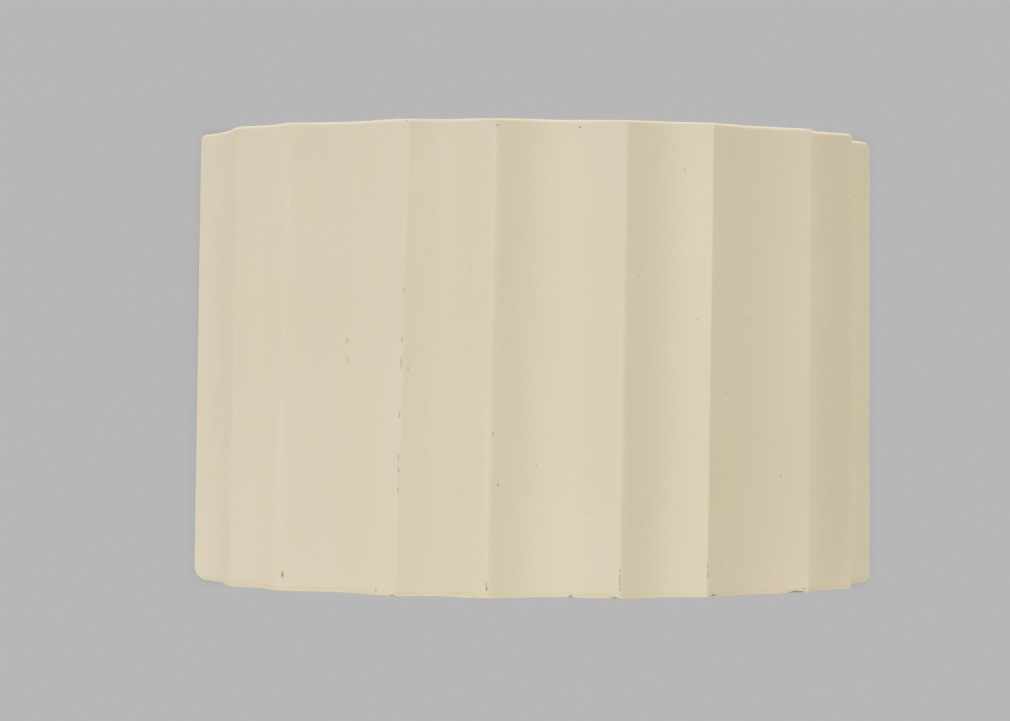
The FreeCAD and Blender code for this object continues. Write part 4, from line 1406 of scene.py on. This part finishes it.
@dataclass
class LockNuts:
    """The two thin nuts that clamp the nipples to the arms."""

    nut: HexNut = HexNut(14.0, 3.0, 5.05)
    start: float = -75.0

    def build(self, paints: "Paintbox") -> None:
        """Sets both nuts under the arms."""
        nuts = [self.nut.shell(self.start).placed(Facing.UP, side.axis) for side in Side]
        Piece("thin_lock_nuts", Body.FITTING, ("nipple_nuts",), NUT_CREASE).put(nuts, paints)


@dataclass
class RoundLamp:
    """The rolled cap of one round lamp."""

    side: Side
    thread: Thread = Thread(6.95, 0.5, 2.82, True)
    foot: float = -53.1
    thread_top: float = -40.4
    thread_rows: int = 56
    first_depth: float = 0.35
    start: float = 2.0
    fade: float = 1.4
    collar: tuple[Span, ...] = (
        (7.0, -39.3), (8.5, -39.1), (8.9, -38.7), (8.9, -34.6), (8.7, -34.1), (8.35, -34.1),
        (8.35, -38.0), (6.0, -38.2), (6.0, -52.9),
    )

    def build(self, paints: "Paintbox") -> None:
        """Sets the cap: a rolled thread under a smooth collar, as one hollow turned wall.

        Args:
            paints: where materials come from.
        """
        height = np.linspace(self.foot, self.thread_top, self.thread_rows)[:, None]
        first = self.first_depth
        share = first + (1 - first) * ease(height, self.foot, self.foot + self.start)
        share = share * (1 - ease(height, self.thread_top - self.fade, self.thread_top))
        collar = np.array(self.collar)
        cut = self.thread.cut(height, share, ROLLED_SIDES)
        radius = np.concatenate((cut, rings(collar[:, 0], ROLLED_SIDES)))
        cap = lathe(radius, np.concatenate((height, collar[:, 1:])), True)
        label = self.side.label
        piece = Piece(f"rolled_cap_{label}", self.side.lamp, (f"lamp_cap_{label}",))
        piece.put([cap.placed(Facing.UP, self.side.axis)], paints)


# Paints


def slot_of(node: str) -> str:
    """The record's material slot of a node."""
    return next(
        part["material_slot"] for part in frame["record"]["subparts"] if part["node"] == node
    )


@dataclass
class Paintbox:
    """One material for each slot of the record, made when it is first asked for."""

    finishes: tuple[Finish, ...]
    made: dict[str, bpy.types.Material] = field(default_factory=dict)

    def of(self, node: str) -> bpy.types.Material:
        """The material of a node's slot.

        Args:
            node: the node's name.

        Returns:
            The material.
        """
        slot = slot_of(node)
        if slot not in self.made:
            self.made[slot] = next(f for f in self.finishes if f.slot == slot).material()
        return self.made[slot]

    def dress(self) -> None:
        """Gives every node that still shows the material of its slot."""
        for name, node in frame["nodes"].items():
            if node.hide_render:
                continue
            node.data.materials.clear()
            node.data.materials.append(self.of(name))
            LOG.info("%s: %s", name, slot_of(name))


def all_finishes(shade: PlasterShade) -> tuple[Finish, ...]:
    """The finish of every slot.

    Args:
        shade: the shade, whose arrises and flaws the plaster follows.

    Returns:
        The finishes.
    """
    return (
        CastPlaster("plaster", (0.708, 0.627, 0.480), arrises=shade.arris_marks, flaws=shade.flaws),
        PlatedMetal("zinc_steel", (0.66, 0.67, 0.69), (0.50, 0.50, 0.47), 0.32, (1.0, 1.0, 0.08)),
        PowderCoat("white_steel", (0.78, 0.77, 0.74)),
        PlatedMetal("brass", (0.80, 0.58, 0.25), (0.45, 0.29, 0.12), 0.26, (0.3, 0.3, 1.0)),
        Moulding("black_rubber", (0.03, 0.03, 0.03), 0.62, 520.0, 0.03),
        Moulding("block_nylon", (0.74, 0.72, 0.66), 0.48, 800.0, 0.012),
        PlatedMetal("tinned_copper", (0.68, 0.67, 0.63), (0.47, 0.40, 0.32), 0.34),
        StripedSleeve("earth_sleeve", (0.06, 0.30, 0.05)),
        Moulding("holder_plastic", (0.70, 0.68, 0.62), 0.40, 950.0, 0.012),
        Moulding("porcelain", (0.82, 0.80, 0.75), 0.30, 240.0, 0.03, 0.9),
        Moulding("lead_sleeve", (0.72, 0.70, 0.66), 0.50, 600.0, 0.015),
        PlatedMetal("solder", (0.58, 0.58, 0.59), (0.40, 0.40, 0.40), 0.36, (1.0, 1.0, 1.0)),
        Moulding("black_glass", (0.015, 0.015, 0.016), 0.12, 300.0, 0.01, 1.0),
        PlatedMetal("lamp_cap_metal", (0.74, 0.74, 0.74), (0.56, 0.55, 0.53), 0.28, (0.2, 0.2, 1.0)),
        OpalGlass("opal_glass", (0.9, 0.89, 0.86)),
    )


# Studio


@dataclass(frozen=True)
class Viewpoint:
    """The camera: a long lens almost level with the middle of the shade, a little to its left."""

    focal_pixels: float = 3658.66
    picture_width: int = 1010
    sensor: float = 36.0
    distance: float = 1.83413
    yaw: float = 3.40755
    pitch: float = -0.20100
    roll: float = 0.41034
    aside: float = 0.015229
    above: float = 0.000640
    far: float = 50.0

    def build(self) -> None:
        """Makes the camera and hands it to the scene."""
        yaw, pitch, roll = (math.radians(a) for a in (self.yaw, self.pitch, self.roll))
        turn = Matrix.Rotation(pitch, 3, "X") @ Matrix.Rotation(yaw, 3, "Z")
        place = -(turn.transposed() @ Vector((self.aside, self.distance, self.above)))
        right, forward, up = (Vector(row) for row in turn)
        across = right * math.cos(roll) + up * math.sin(roll)
        upward = up * math.cos(roll) - right * math.sin(roll)
        data = bpy.data.cameras.new("camera")
        data.sensor_width = self.sensor
        data.lens = self.sensor * self.focal_pixels / self.picture_width
        data.clip_end = self.far
        camera = bpy.data.objects.new("camera", data)
        bpy.context.scene.collection.objects.link(camera)
        axes = Matrix((across, upward, -forward)).transposed()
        camera.matrix_world = Matrix.Translation(place) @ axes.to_4x4()
        bpy.context.scene.camera = camera


@dataclass(frozen=True)
class SoftBox:
    """A large soft lamp that faces the origin."""

    name: str
    place: Triple
    size: float
    watts: float
    colour: Colour = (1.0, 1.0, 1.0)

    def build(self) -> None:
        """Makes the lamp."""
        data = bpy.data.lights.new(self.name, "AREA")
        data.shape = "SQUARE"
        data.size = self.size
        data.energy = self.watts
        data.color = self.colour
        lamp = bpy.data.objects.new(self.name, data)
        bpy.context.scene.collection.objects.link(lamp)
        lamp.location = self.place
        lamp.rotation_euler = (-Vector(self.place)).to_track_quat("-Z", "Y").to_euler()


@dataclass
class Studio:
    """Grey wall, pale floor, soft lamps and an even sky."""

    wall_grey: float = 0.4735
    wall_size: float = 8.0
    wall_bounce: float = 1.6
    wall_gap: float = 0.0006
    floor_level: float = -1.4
    floor_size: float = 5.0
    floor_colour: Colour = (0.74, 0.73, 0.71)
    floor_glow: float = 0.7
    sky: Colour = (0.052, 0.030, 0.015)
    contact: float = 0.006
    # painted contact shadow: the share of the wall's grey left where the shade's edges are nearest
    contact_tone: float = 0.7
    contact_samples: int = 8
    contact_lean: Triple = (0.72, -0.25, 0.65)
    square: tuple[tuple[int, int], ...] = ((-1, -1), (1, -1), (1, 1), (-1, 1))
    lamps: tuple[SoftBox, ...] = (
        SoftBox("left_box", (-1.807, -2.006, 0.0), 1.3, 18.2, COOL),
        SoftBox("front_left_box", (-0.923, -2.537, 0.0), 1.3, 9.6, COOL),
        SoftBox("low_left_box", (-1.47, -1.47, -1.2), 1.2, 28.3, COOL),
        SoftBox("right_box", (2.006, -1.807, 0.0), 1.5, 23.8, COOL),
        SoftBox("low_right_box", (1.592, -1.336, -1.2), 1.2, 5.2, COOL),
        SoftBox("far_right_box", (2.537, -0.923, 0.0), 1.6, 8.0, WARM),
        SoftBox("top_box", (0.0, -0.084, 2.399), 2.0, 55.0, HIGH),
        SoftBox("back_box", (0.0, 2.4, 1.0), 2.0, 26.0, HIGH),
    )

    def plane(self, name: str, corners: Sequence[Sequence[float]], shader: Shader) -> bpy.types.Object:
        """Makes one flat stage piece.

        Args:
            name: its name.
            corners: its four corners, in metres.
            shader: its finish.

        Returns:
            The object.
        """
        mesh = bpy.data.meshes.new(name)
        mesh.from_pydata(corners, [], [(0, 1, 2, 3)])
        mesh.materials.append(shader.owner)
        made = bpy.data.objects.new(name, mesh)
        bpy.context.scene.collection.objects.link(made)
        return made

    def one_sided(self, shader: Shader, front: Socket) -> None:
        """Ends a stage material that is clear from behind.

        Args:
            shader: the shader to add to.
            front: what shows from the front.
        """
        behind = shader.node("NewGeometry", output="Backfacing")
        clear = shader.node("BsdfTransparent")
        both = shader.node("MixShader", None, {0: behind, 1: front, 2: clear})
        shader.node("OutputMaterial", None, {"Surface": both})

    def build(self) -> None:
        """Builds the stage and its light."""
        half, reach = self.wall_size / 2, self.floor_size
        wall = Shader(bpy.data.materials.new("wall_paint"))
        # Painted contact shadow: the wall's grey darkens where the shade's edges come near it, leaning towards
        # the left and below.
        toward = {"Distance": self.contact, "Normal": self.contact_lean}
        open_air = wall.node("AmbientOcclusion", {"samples": self.contact_samples}, toward, "AO")
        dark, grey, bounced = (
            (self.wall_grey * factor,) * 3 for factor in (self.contact_tone, 1.0, self.wall_bounce)
        )
        near = wall.mix(open_air, dark, grey)
        shown = wall.mix(wall.node("LightPath", output="Is Camera Ray"), bounced, near)
        self.one_sided(wall, wall.node("Emission", None, {"Color": shown, "Strength": 1.0}))
        upright = [(x * half, self.wall_gap, z * half) for x, z in self.square]
        backdrop = self.plane("wall", upright, wall)
        for ray in ("glossy", "transmission", "shadow"):
            setattr(backdrop, f"visible_{ray}", False)
        paint = Shader(bpy.data.materials.new("floor_paint"))
        lit = paint.node("BsdfDiffuse", None, {"Color": opaque(self.floor_colour)})
        pale = paint.node("Emission", None, {"Color": opaque(self.floor_colour), "Strength": 1.0})
        seen = paint.node("LightPath", output="Is Camera Ray") * self.floor_glow
        self.one_sided(paint, paint.node("MixShader", None, {0: seen, 1: lit, 2: pale}))
        flat = [(x * reach, y * reach, self.floor_level) for x, y in self.square]
        self.plane("floor", flat, paint)
        self.light_sky(Shader(bpy.data.worlds.new("sky")))
        for lamp in self.lamps:
            lamp.build()

    def light_sky(self, sky: Shader) -> None:
        """Lights the scene evenly, and shows the wall's grey to the camera, in gloss and through glass.

        Args:
            sky: the world's shader.
        """
        bpy.context.scene.world = sky.owner
        seen = sky.node("LightPath", output="Is Camera Ray")
        for ray in ("Is Glossy Ray", "Is Transmission Ray"):
            seen = seen.highest(sky.node("LightPath", output=ray))
        light = sky.node("Background", None, {"Color": opaque(self.sky)})
        shown = sky.node("Background", None, {"Color": opaque((self.wall_grey,) * 3)})
        both = sky.node("MixShader", None, {0: seen, 1: light, 2: shown})
        sky.node("OutputWorld", None, {"Surface": both})


def main() -> None:
    """Builds every piece, dresses the nodes that stay, and sets the stage."""
    logging.basicConfig(level=logging.INFO, format="%(message)s")
    bpy.context.scene.view_settings.view_transform = "Standard"
    shade = PlasterShade(flaws=plaster_flaws())
    paints = Paintbox(all_finishes(shade))
    makers = [shade, StrapScrews(), PlateStuds(), ConnectorScrews(), LockNuts()]
    for side in Side:
        makers += [LampHolder(side), RoundLamp(side)]
    for maker in makers:
        maker.build(paints)
    paints.dress()
    Viewpoint().build()
    Studio().build()


if __name__ == "__main__":
    main()
